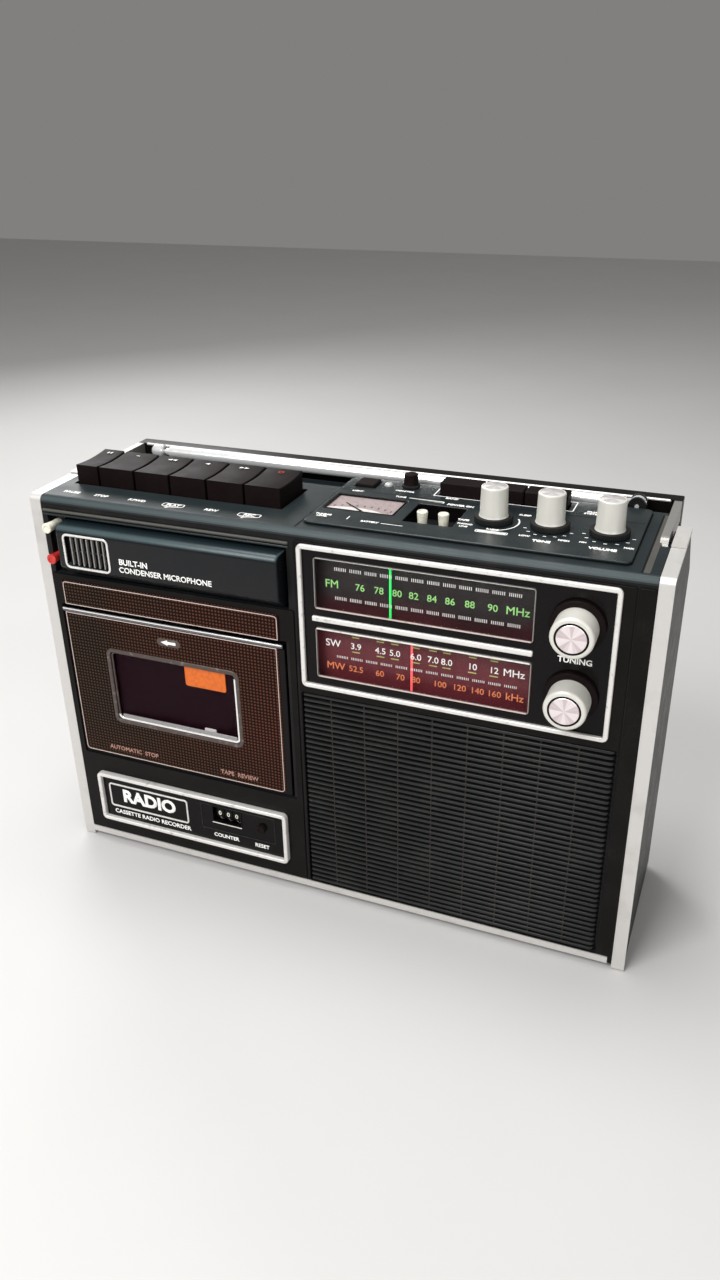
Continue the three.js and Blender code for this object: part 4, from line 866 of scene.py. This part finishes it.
def dial_bezel():
    """A bright frame round two windows, each with its own clear lens, over one printed dial."""
    x, (y0, _), z = span("dial_bezel")
    lens_x = (x[0] + 9.25, x[0] + 131.25)
    fm_z, am_z = (z[0] + 50, z[0] + 80.75), (z[0] + 7.5, z[0] + 39)
    face = FRONT - 0.3
    knobs = [circle(middle(span(k)[0]), middle(span(k)[2]), 5) for k in ("fm_tuning_knob", "am_tuning_knob")]
    base = plate("bezel_face", [box_loop(inset(x, 2), inset(z, 2), 2), box_loop(lens_x, fm_z, 1),
            box_loop(lens_x, am_z, 1), *knobs], (face, FRONT + 1.6), "front", "gloss", bevel=0.2)
    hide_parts("dial_bezel")
    plate("bezel_frame", ring(x, z, 2.7, 3.2), (y0, FRONT), "front", "silver", bevel=0.8, steps=3)
    plate("dial_bar", [box_loop((lens_x[0] - 1.5, lens_x[1]), (z[0] + 42.6, z[0] + 45.9), 0.8)],
                (FRONT - 2.0, FRONT), "front", "silver", bevel=0.8)
    for name, zone in (("fm", fm_z), ("am", am_z)):
        glass = plate(name + "_lens", [box_loop(inset(lens_x, 0.3), inset(zone, 0.3), 1.5)], (FRONT - 1.6,
                FRONT + 1.6), "front", "lens", bevel=0.9, steps=3)
        plate(name + "_lens_edge", ring(inset(lens_x, 0.2), inset(zone, 0.2), 0.6, 1.6), (FRONT - 1.25,
              FRONT + 0.4), "front", "grey_metal", bevel=0.25)
        # A painted glint: a thin pale strip along the foot of each lens.
        plate(name + "_lens_lower_glint", [box_loop(inset(lens_x, 1.2), (zone[0] + 0.5, zone[0] + 1.3), 0.3)],
              (FRONT - 1.75, FRONT - 1.3), "front", "fine_silver", bevel=0.15)
    # A painted glint along the top edge of the AM lens.
    plate("am_lens_upper_glint", [box_loop(inset(lens_x, 1.0), (am_z[1] - 1.1, am_z[1] - 0.3), 0.3)],
          (FRONT - 1.75, FRONT - 1.3), "front", "silver", bevel=0.15)
    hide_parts("dial_lens")
    backing = span("dial_plate")
    screen = plate("dial_face", [box_loop(backing[0], backing[2], 1)], backing[1], "front", "dial", bevel=0.2)
    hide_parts("dial_plate")
    dial_print(x[0] - 173.75 - SIGHT[0], -SIGHT[1], FRONT + 3.0)


def dial_print(left, lift, depth):
    """The scales on the back of the lenses. Places along X are from the recorder's left end."""
    def row(marks, size, height):
        return [(text, size, left + at, height + lift, 0.05) for text, at in marks]

    fm = [("76", 209.9), ("78", 220.8), ("80", 231.1), ("82", 240.4), ("84", 250.5), ("86", 260.4), ("88",
          271.1), ("90", 283.3)]
    sw = [("3.9", 206.9), ("4.5", 221.4), ("5.0", 229.8), ("6.0", 241.9), ("7.0", 251.7), ("8.0", 259.4),
          ("10", 273.7), ("12", 285.5)]
    mw = [("52.5", 206.7), ("60", 220.9), ("70", 233), ("80", 242.1), ("100", 255.8), ("120", 266.8), ("140",
          276.8), ("160", 286.2)]
    printed("fm_scale", "front", depth, "green",
            words=row(fm, 3.9, 219.3) + row([("FM", 193.5), ("MHz", 296.4)], 4.6, 219.3))
    printed("sw_scale", "front", depth, "white",
            words=row(sw, 3.7, 183.1) + row([("SW", 193.2), ("MHz", 296.3)], 4.3, 183.1))
    printed("mw_scale", "front", depth, "orange",
            words=row(mw, 3.6, 168.8) + row([("MW", 194.4), ("kHz", 297.3)], 4.3, 168.8))
    ticks = []
    for height, long in ((228.5, 2.0), (211.3, 2.0), (175.2, 1.5)):
        for group in range(12):
            for i in range(7):
                at = left + 195.3 + group * 8.75 + i * 1.02
                ticks.append(box_loop((at, at + 0.42), (height + lift - long / 2, height + lift + long / 2)))
    printed("dial_ticks", "front", depth, "grey", loops=ticks)
    dashes = []
    for _, at in sw:
        for height, wide in ((188.4, 4.2), (189.8, 5.2), (179.3, 4.6)):
            dashes.append(box_loop((left + at - wide / 2, left + at + wide / 2), (height + lift,
                    height + lift + 0.7)))
    printed("band_dashes", "front", depth, "yellow", loops=dashes)


def pointers():
    """Thin blades that stand in front of the scales."""
    for node, material, low in (("fm_pointer", "needle_green", 201.5), ("am_pointer", "needle_red", 157.5)):
        x, y, _ = span(node)
        top = 235.0 if node == "fm_pointer" else 190.5
        blade = plate(node + "_blade", [box_loop((middle(x) - 0.55, middle(x) + 0.55), (low, top), 0.3, 3)],
                      (y[0], min(y[1], y[0] + 0.8)), "front", material, node, 0.15)
        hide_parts(node)


def tuning_knobs():
    """Each has a black skirt, a pearl side with a rounded front edge, and a spun disc in a black line."""
    for body in ("fm_tuning", "am_tuning"):
        node = body + "_knob"
        x, (y0, _), z = span(node)
        centre = (middle(x), FRONT, middle(z))
        top = FRONT - y0
        skirt = turned(node + "_skirt", [(0, -9), (3, -9), (3, -0.2), (13.7, -0.2), (14.2, 0.4), (14.2, 2.6),
                (13.6, 3.3), (11.6, 3.7), (0, 3.7)], centre, "front", "key", body)
        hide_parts(node)
        turned(node + "_cap", [(0, 3.5), (KNOB_RADIUS, 3.5), (KNOB_RADIUS, top - 2.2),
               *rounded_rim(KNOB_RADIUS, top, 1.6), (8.7, top), (8.7, top - 0.7), (0, top - 0.7)], centre,
               "front", "knob", body, 72)
        turned(node + "_line", [
            (0, top - 0.65), (8.65, top - 0.65), (8.65, top - 0.1), (7.5, top - 0.1), (0, top - 0.3)
        ], centre, "front", "gloss", body, 72)
        turned(node + "_disc", [(0, top - 0.4), (7.6, top - 0.4), (7.6, top), (7.35, top + 0.2), (0,
               top + 0.2)], centre, "front", "spun_front", body, 72)
    upper, lower = span("fm_tuning_knob"), span("am_tuning_knob")
    printed("tuning_word", "front", FRONT - 0.3, "white", words=[
        ("TUNING", 3.2, middle(upper[0]), (upper[2][0] + lower[2][1]) / 2, 0.14)])


def rounded_rim(radius, top, fillet, steps=5):
    """The points of a quarter round from the side of a turned piece to its face."""
    return [(radius - fillet + fillet * math.cos(a), top - fillet + fillet * math.sin(a))
            for a in (math.pi / 2 * i / steps for i in range(steps + 1))]


def grille():
    """Louvres that curve back at their right ends, crossed by thin ribs."""
    x, _, z = span("speaker_grille")
    rows, high = 39, 1.95
    pitch = (z[1] - z[0] - high - 0.8) / (rows - 1)
    front, back, turn = FRONT - 0.7, FRONT + 2.0, 3.2
    shape = [(x[0] + 0.4, back), (x[0] + 0.4, front + 0.6), (x[0] + 1.0, front), *arc(x[1] - 0.5 - turn,
             front + turn, turn, 270, 350)]
    shape.append((x[1] - 0.6, back))
    sheets = bmesh.new()
    for row in range(rows):
        low = z[0] + 0.4 + row * pitch
        curve = outline("louvre", [shape], high, 0.6, 2)
        sheets.from_mesh(drawn("louvre", "top", low + high / 2, curve))
    mesh = bpy.data.meshes.new("speaker_louvres")
    sheets.to_mesh(mesh)
    sheets.free()
    louvres = keep("speaker_louvres", mesh, "louvre", smooth=50)
    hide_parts("speaker_grille")
    ribs = [box_loop((x[0] + at - 0.35, x[0] + at + 0.35), inset(z, 0.5)) for at in
            (17.75 + 20.3 * i for i in range(8))]
    plate("speaker_ribs", ribs, (FRONT - 0.45, FRONT + 1.9), "front", "rib", bevel=0.15)
    plate("speaker_backing", [box_loop(inset(x, 0.5), inset(z, 0.5), 1.5)], (FRONT + 2.3, FRONT + 2.8),
          "front", "cloth", bevel=0.1)


# ---- Deck: labels, keys and control panel ----
KEYS = ("pause_key", "stop_key", "rewind_key", "play_key", "forward_key", "record_key")
KEY_WORDS = ("PAUSE", "STOP", "F.FWD", "PLAY", "REW", "REC")


def piano_keys():
    """Glossy keys whose tops dip between a sharp front edge and a raised back."""
    for node in KEYS:
        x, (y0, _), (_, top) = span(node)
        z0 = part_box("front_cabinet")[1].z / MM - 8
        back = y0 + 30.5
        dip = [(y0 + (back - y0) * t, top - 0.8 - 0.8 * math.sin(math.pi * t) + 0.8 * t * t)
               for t in (i / 14 for i in range(15))]
        side = [(y0, z0), *dip, (back, z0)]
        cap = plate(node + "_cap", [side], inset(x, 0.3), "side", "key", node, bevel=0.7, steps=3)
        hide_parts(node)
        key_mark(node, middle(x), back - 5.0, top - 0.35)


def key_mark(node, u, v, height):
    """The small sign near the back of a key's top."""
    left = [(u - 1.8, v), (u + 1.2, v + 1.3), (u + 1.2, v - 1.3)]
    right = [(2 * u - a, b) for a, b in left]

    def moved(loop, by):
        return [(a + by, b) for a, b in loop]
    bars = [box_loop((u + s - 0.45, u + s + 0.45), (v - 1.3, v + 1.3)) for s in (-1.1, 1.1)]
    signs = {"pause_key": bars, "stop_key": [box_loop((u - 1.2, u + 1.2), (v - 0.3, v + 0.3))],
             "rewind_key": [moved(left, -1.6), moved(left, 1.6)], "play_key": [left],
             "forward_key": [moved(right, -1.6), moved(right, 1.6)], "record_key": [circle(u, v, 1.8, 24),
             circle(u, v, 1.2, 24)]}
    material = "red" if node == "record_key" else "white"
    printed(node + "_sign", "top", height, material, node, signs[node])


def deck_labels():
    """White lettering in front of each key. Two of the signs are framed and stand on a stem."""
    words, loops = [], []
    for node, text in zip(KEYS, KEY_WORDS):
        u, v = middle(span(node)[0]), FRONT + 11.5
        words.append((text, 2.7, u, v, 0.12))
        if node in ("play_key", "record_key"):
            loops += ring((u - 7, u + 7), (v - 2.4, v + 2.4), 0.6, 1.4)
            loops.append(box_loop((u - 2.6, u - 2.0), (v - 5.4, v - 2.2)))
    printed("deck_words", "top", DECK, "white", loops=loops, words=words)


def control_panel():
    """The raised panel, with openings for what it carries."""
    x, y, (_, top) = span("control_panel")
    meter = (span("meter_lens")[0], span("meter_lens")[1])
    levers = (span("mode_lever")[0][0] - 5.5, span("afc_lever")[0][1] + 5.0)
    pocket = (levers, (span("mode_lever")[1][0] - 7.0, span("mode_lever")[1][1] + 16))
    bands = ((span("mw_band_key")[0][0] - 0.4, span("fm_band_key")[0][1] + 0.4), inset(span("mw_band_key")[1],
             -0.4))
    light = (inset(span("light_button")[0], -0.4), inset(span("light_button")[1], -0.4))
    face = plate("panel_face", [box_loop(x, y, 3.5), box_loop(*meter, 1.5), box_loop(*pocket, 1),
            box_loop(*bands, 0.5), box_loop(*light, 0.5)], (top - 1.5, top), "top", "deck", bevel=0.6,
            steps=3)
    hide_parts("control_panel")
    plate("lever_well", [box_loop(inset(pocket[0], -1), inset(pocket[1], -1), 1)], (top - 9.3, top - 8.6),
          "top", "dark", bevel=0.1)
    plate("lever_well_wall", ring(inset(pocket[0], -0.8), inset(pocket[1], -0.8), 0.9, 1), (top - 9,
          top - 0.2), "top", "gloss", bevel=0.1)
    for node in ("mode_lever", "afc_lever"):
        lx, ly, (_, lz) = span(node)
        plate(node + "_slot", [box_loop((middle(lx) - 2, middle(lx) + 2), (ly[0] - 2, ly[1] + 6), 2)],
              (top - 8.7, top - 8.4), "top", "dark", bevel=0.05)
        r = (lx[1] - lx[0]) / 2 + 0.3
        cap = turned(node + "_cap", [(0, -12), (1.7, -12), (1.7, -9.5), (r * 0.8, -9.3), (r * 0.88, -4), (r,
                0.9), (r - 0.3, 1.4), (r - 0.9, 1.4), (r - 1.1, 0.6), (0, 0.4)], (middle(lx), middle(ly), lz),
                "top", "ivory", node, 32)
        turned(node + "_bore", [(0, 0.3), (r - 1.1, 0.3), (r - 1.1, 0.75), (0, 0.75)], (middle(lx),
               middle(ly), lz), "top", "grey", node, 24)
        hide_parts(node)
    level_meter(*meter, top)
    panel_print(x, y, top, pocket, bands)
    for node in ("mw_band_key", "sw_band_key", "fm_band_key"):
        kx, ky, kz = span(node)
        cap = plate(node + "_cap", [box_loop(kx, ky, 0.8)], kz, "top", "key", node, bevel=0.9, steps=3)
        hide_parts(node)
    lx, ly, lz = span("light_button")
    cap = plate("light_button_cap", [box_loop(lx, ly, 0.8)], lz, "top", "key", "light_button", bevel=0.8,
            steps=3)
    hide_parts("light_button")
    turned("light_lamp", [(0, 0), (2.6, 0), (2.4, 0.8), (1.6, 1.5), (0, 1.8)], (lx[1] + 6.5, middle(ly) + 1,
           top), "top", "lamp", CHASSIS, 28)


def level_meter(x, y, top):
    """A window with a pale scale, a white arc and a needle under a clear cover."""
    tray = plate("meter_tray", [box_loop(inset(x, 1), inset(y, 1), 1)], (top - 1.5, top - 1.1), "top",
            "scale", bevel=0.05)
    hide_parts("level_meter")
    plate("meter_wall", ring(x, y, 1.0, 1.6), (top - 4, top + 0.15), "top", "gloss", bevel=0.25)
    u, v = middle(x), y[0] - 30
    band = [*arc(u - 4, v, 38.0, 66, 116, 16), (x[0] + 1.6, y[0] + 1.4), (x[1] - 1.6, y[0] + 1.4)]
    printed("meter_band", "top", top - 1.1, "pale", loops=[band])
    ticks = []
    for i in range(9):
        angle = math.radians(114 - 48 * i / 8)
        tu, tv = u + 41.5 * math.cos(angle), v + 41.5 * math.sin(angle)
        ticks.append(box_loop((tu - 0.3, tu + 0.3), (tv - 1.2, tv + 1.2)))
    printed("meter_ticks", "top", top - 1.06, "bronze", loops=ticks)
    cover = plate("meter_cover", [box_loop(inset(x, 0.9), inset(y, 0.9), 1)], (top - 0.5, top + 0.1), "top",
            "lens", bevel=0.2)
    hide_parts("meter_lens")
    (tip, _), (foot_y, tip_y), _ = span("meter_needle")
    foot = tip + 13.5
    blade = plate("meter_blade", [[(foot - 0.6, foot_y + 1.2), (foot + 0.6, foot_y + 1.8), (tip + 0.5,
            tip_y - 0.3), (tip + 0.2, tip_y - 0.6)]], (top - 0.9, top - 0.7), "top", "dark", "meter_needle",
            0.03)
    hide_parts("meter_needle")


def panel_print(x, y, top, pocket, bands):
    """White words, marks and lines round the controls."""
    tone, volume, function = (middle(span(n)[0]) for n in ("tone_knob", "volume_knob", "function_knob"))
    knob_y = middle(span("tone_knob")[1])
    words = [("VOLUME", 2.5, volume, knob_y - 20.5, 0.2), ("MIN", 1.4, volume - 11, knob_y - 14.5, 0.12),
             ("MAX", 1.6, volume + 12, knob_y - 15, 0.14), ("TONE", 2.4, tone, knob_y - 20.3, 0.2), ("LOW",
             1.7, tone - 10, knob_y - 15.5, 0.14), ("HIGH", 1.7, tone + 10.5, knob_y - 15.5, 0.14), ("TAPE",
             1.9, function - 15.5, knob_y - 4, 0.14), ("PHONO", 1.6, function - 13, knob_y - 9.5, 0.12),
             ("LINE", 1.6, function - 13, knob_y - 13, 0.12), ("RADIO", 1.6, function + 3, knob_y - 12.5,
             0.12), ("SLEEP", 1.9, function + 14, knob_y + 13.5, 0.14), ("TUNING", 1.7, x[0] + 7.5,
             y[0] + 12.5, 0.14), ("LEVEL", 1.7, x[0] + 7.5, y[0] + 10, 0.14), ("BATTERY", 1.7, x[0] + 35.5,
             y[0] + 9.5, 0.14), ("POWER ON", 2.0, pocket[0][1] - 5, pocket[1][1] + 3.6, 0.18), ("TUNE", 1.7,
             x[0] + 38, pocket[1][1] + 6.5, 0.13), ("LIGHT", 1.7, x[0] + 11, pocket[1][1] + 8.2, 0.13),
             ("BAND", 1.9, bands[0][0] + 9, bands[1][0] - 3.3, 0.16), ("DUAL", 1.9, bands[0][1] + 14,
             bands[1][0] + 1, 0.15), ("SYSTEM", 1.9, bands[0][1] + 14, bands[1][0] - 2, 0.15), ("MONITOR",
             1.7, middle(span("monitor_knob")[0]) - 1, middle(span("monitor_knob")[1]) - 8.0, 0.13)]
    lines = ring((bands[0][0] - 3, bands[0][1] + 3.4), (bands[1][0] - 1.6, bands[1][1] + 1.6), 0.7, 0.8)
    for u, start, end in ((tone, 200, 340), (volume, 190, 350)):
        for i in range(7):
            angle = math.radians(start + (end - start) * i / 6)
            pu, pv = u + 13 * math.cos(angle), knob_y + 13 * math.sin(angle)
            lines.append(box_loop((pu - 0.9, pu + 0.9), (pv - 0.35, pv + 0.35)))
    lines.append(arc(function, knob_y, 14.2, -80, 30, 14) + arc(function, knob_y, 13.4, 30, -80, 14))
    lines += ring((function - 5.5, function + 12), (knob_y - 18.2, knob_y - 14.6), 0.5, 1.2)
    meter_x, meter_y, step = x[0], y[0], pocket[0][1] - 15
    for u, v in [((function - 4.5, function + 11), (knob_y - 17.3, knob_y - 15.5)),
                 ((meter_x + 22, meter_x + 22.6), (meter_y + 9.4, meter_y + 14)),
                 ((meter_x + 22, meter_x + 29), (meter_y + 9.2, meter_y + 9.8)),
                 ((meter_x + 42, pocket[0][0] + 3), (meter_y + 9.2, meter_y + 9.8)),
                 ((meter_x + 43, step), (pocket[1][1] + 6.2, pocket[1][1] + 6.8)),
                 ((pocket[0][1] - 15.6, step), (pocket[1][1] + 4.0, pocket[1][1] + 6.8))]:
        lines.append(box_loop(u, v))
    printed("panel_words", "top", top, "white", loops=lines, words=words)
    plate("panel_crease", [box_loop((x[0] + 1, x[1] - 1), (bands[1][0] - 7.4, bands[1][0] - 6.9))],
          (top - 0.4, top + 0.03), "top", "dark", bevel=0.02)


def top_knobs():
    """Tall pearl cylinders with spun tops, on ridged black rings."""
    for node in ("function_knob", "tone_knob", "volume_knob"):
        kx, ky, kz = span(node)
        centre = (middle(kx), middle(ky), PANEL_TOP)
        top = kz[1] - PANEL_TOP
        base = ridged_ring(node + "_ring", centre, 10.4, 0.3, 3.4, node)
        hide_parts(node)
        turned(node + "_cap", [(0, 3.0), (8.1, 3.0), (7.8, 3.9), (7.5, 4.8), (TOP_KNOB_RADIUS, top - 1.5),
               *rounded_rim(TOP_KNOB_RADIUS, top, 0.7), (6.2, top), (6.2, top - 0.3), (0, top - 0.3)], centre,
               "top", "knob", node, 56)
        turned(node + "_disc", [(0, top - 0.35), (6.1, top - 0.35), (6.1, top - 0.1), (5.9, top), (0, top)],
               centre, "top", "spun_top", node, 56)
    kx, ky, kz = span("monitor_knob")
    top = kz[1] - PANEL_TOP
    base = ridged_ring("monitor_ring", (middle(kx), middle(ky), PANEL_TOP), 5.3, 0.3, 1.9, "monitor_knob", 32)
    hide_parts("monitor_knob")
    turned("monitor_cap", [(0, 1.8), (4.6, 1.8), (4.3, 3), (4.0, top - 1), *rounded_rim(4.0, top, 0.7), (0,
           top)], (middle(kx), middle(ky), PANEL_TOP), "top", "key", "monitor_knob", 40)


def ridged_ring(name, centre, radius, low, high, body, teeth=60):
    """A black ring whose rim is cut into fine teeth."""
    loop = []
    for i in range(teeth * 2):
        r = radius - (0.35 if i % 2 else 0)
        loop.append((centre[0] + r * math.cos(math.pi * i / teeth),
                centre[1] + r * math.sin(math.pi * i / teeth)))
    return plate(name, [loop], (centre[2] + low, centre[2] + high), "top", "rubber", body, bevel=0.25)


# ---- Shells, handle, aerial and what is inside ----
def handle():
    """Flat bright arms and a black grip with a painted highlight, a fine bright line, along its top front
    edge.
    """
    x, y, z = span("carry_handle")
    dress("carry_handle", "grey_metal", 0.5)
    grip_front = y[1] - 10
    plate("handle_grip", [[(grip_front - 0.3, z[1] + 0.25), (grip_front - 0.3, z[0] + 3), *arc(grip_front + 3,
          z[0] + 2.8, 3.2, 180, 270, 5), *arc(y[1] - 3, z[0] + 2.8, 3.2, 270, 360, 5), *arc(y[1] - 2,
          z[1] - 1.9, 2.2, 0, 90, 5)]], (x[0] - 0.2, x[1] + 0.2), "side", "fascia", "carry_handle", bevel=0.6)
    # A painted highlight: a thin bright bar along the grip's top front edge.
    turned_bar("handle_painted_edge_highlight", inset(x, 6), (grip_front - 0.1, z[1] - 0.4), 0.75, "silver", "carry_handle")


def aerial():
    """Three bright tubes, one inside another, with a round tip."""
    for node in ("aerial_outer", "aerial_middle", "aerial_inner"):
        dress(node, "bright", 0)
    outer, inner = span("aerial_outer"), span("aerial_inner")
    centre = (middle(span("aerial_middle")[1]), middle(span("aerial_middle")[2]))
    turned_bar("aerial_sleeve", (outer[0][0] + 0.2, outer[0][1] - 12), centre, AERIAL_RADIUS, "bright",
            "aerial_outer")
    r = (inner[2][1] - inner[2][0]) / 2 + 0.1
    dome = [(r * math.sin(a), r - r * math.cos(a)) for a in (math.pi / 2 * i / 8 for i in range(9))]
    turned("aerial_tip", [*dome, (r, 8.5), (r - 0.6, 9.4), (0, 9.4)], (inner[0][0], *centre), "side",
           "bright", "aerial_inner", 32)


def shells():
    """The cabinets, strips and battery door, with the screws and vents of the back."""
    dress("front_cabinet", "shell", 0.6)
    dress("rear_cabinet", "shell", 0.6)
    for node in ("left_trim", "right_trim", "bottom_trim"):
        dress(node, "aluminium", 0.35)
    dress("battery_door", "shell", 0.4)
    (x0, x1), (_, back), _ = span("rear_cabinet")
    grooves = [box_loop((x0 + 30 + 12 * i, x0 + 34 + 12 * i), (140, 176), 1.9) for i in range(11)]
    plate("rear_vents", grooves, (back - 0.3, back + 0.25), "front", "dark", bevel=0.1)
    screws = [(x0 + 14, 18), (x1 - 14, 18), (x0 + 14, 200), (x1 - 14, 200), (0, 200), (-20, 18)]
    for i, (u, v) in enumerate(screws):
        turned(f"rear_screw_{i + 1}", [(0, 0.5), (1.2, 0.5), (1.4, 0.2), (3.2, 0.1), (3.4, -0.6), (0, -0.6)],
               (u, back, v), "back", "steel", CHASSIS, 24)
    a, b = 0.45, 2.2
    cross = [(a, a), (a, b), (-a, b), (-a, a), (-b, a), (-b, -a), (-a, -a), (-a, -b), (a, -b), (a, -a), (b,
             -a), (b, a)]
    plate("rear_screw_slots", [[(u + du, v + dv) for du, dv in cross] for u, v in screws], (back + 0.3,
          back + 0.56), "front", "dark", bevel=0)
    door = span("battery_door")
    ribs = [box_loop((door[0][0] + 12 + 4 * i, door[0][0] + 13.6 + 4 * i), (door[2][0] + 10, door[2][1] - 14),
            0.7) for i in range(30)]
    plate("battery_door_ribs", ribs, (back - 0.4, back + 0.3), "front", "shell", "battery_door", bevel=0.3)


INSIDES = {
    "steel": "speaker_driver deck_plate cassette_holder capstan_flywheel motor_pulley drive_motor tape_head "
             "key_shaft",
    "cloth": "speaker_cone", "ivory": "supply_spindle takeup_spindle", "rubber": "drive_belt pinch_roller",
    "board": "main_board",
}


def insides():
    """What shows behind the door and through the openings."""
    for material, nodes in INSIDES.items():
        for node in nodes.split():
            dress(node, material, 0)


for build in (camera, studio, shells, insides, fascias, deck_joints, top_lip, mesh_strip, microphone,
              mic_buttons, cassette_door, counter_panel, dial_bezel, pointers, tuning_knobs, grille,
              piano_keys, deck_labels, control_panel, top_knobs, handle, aerial):
    build()
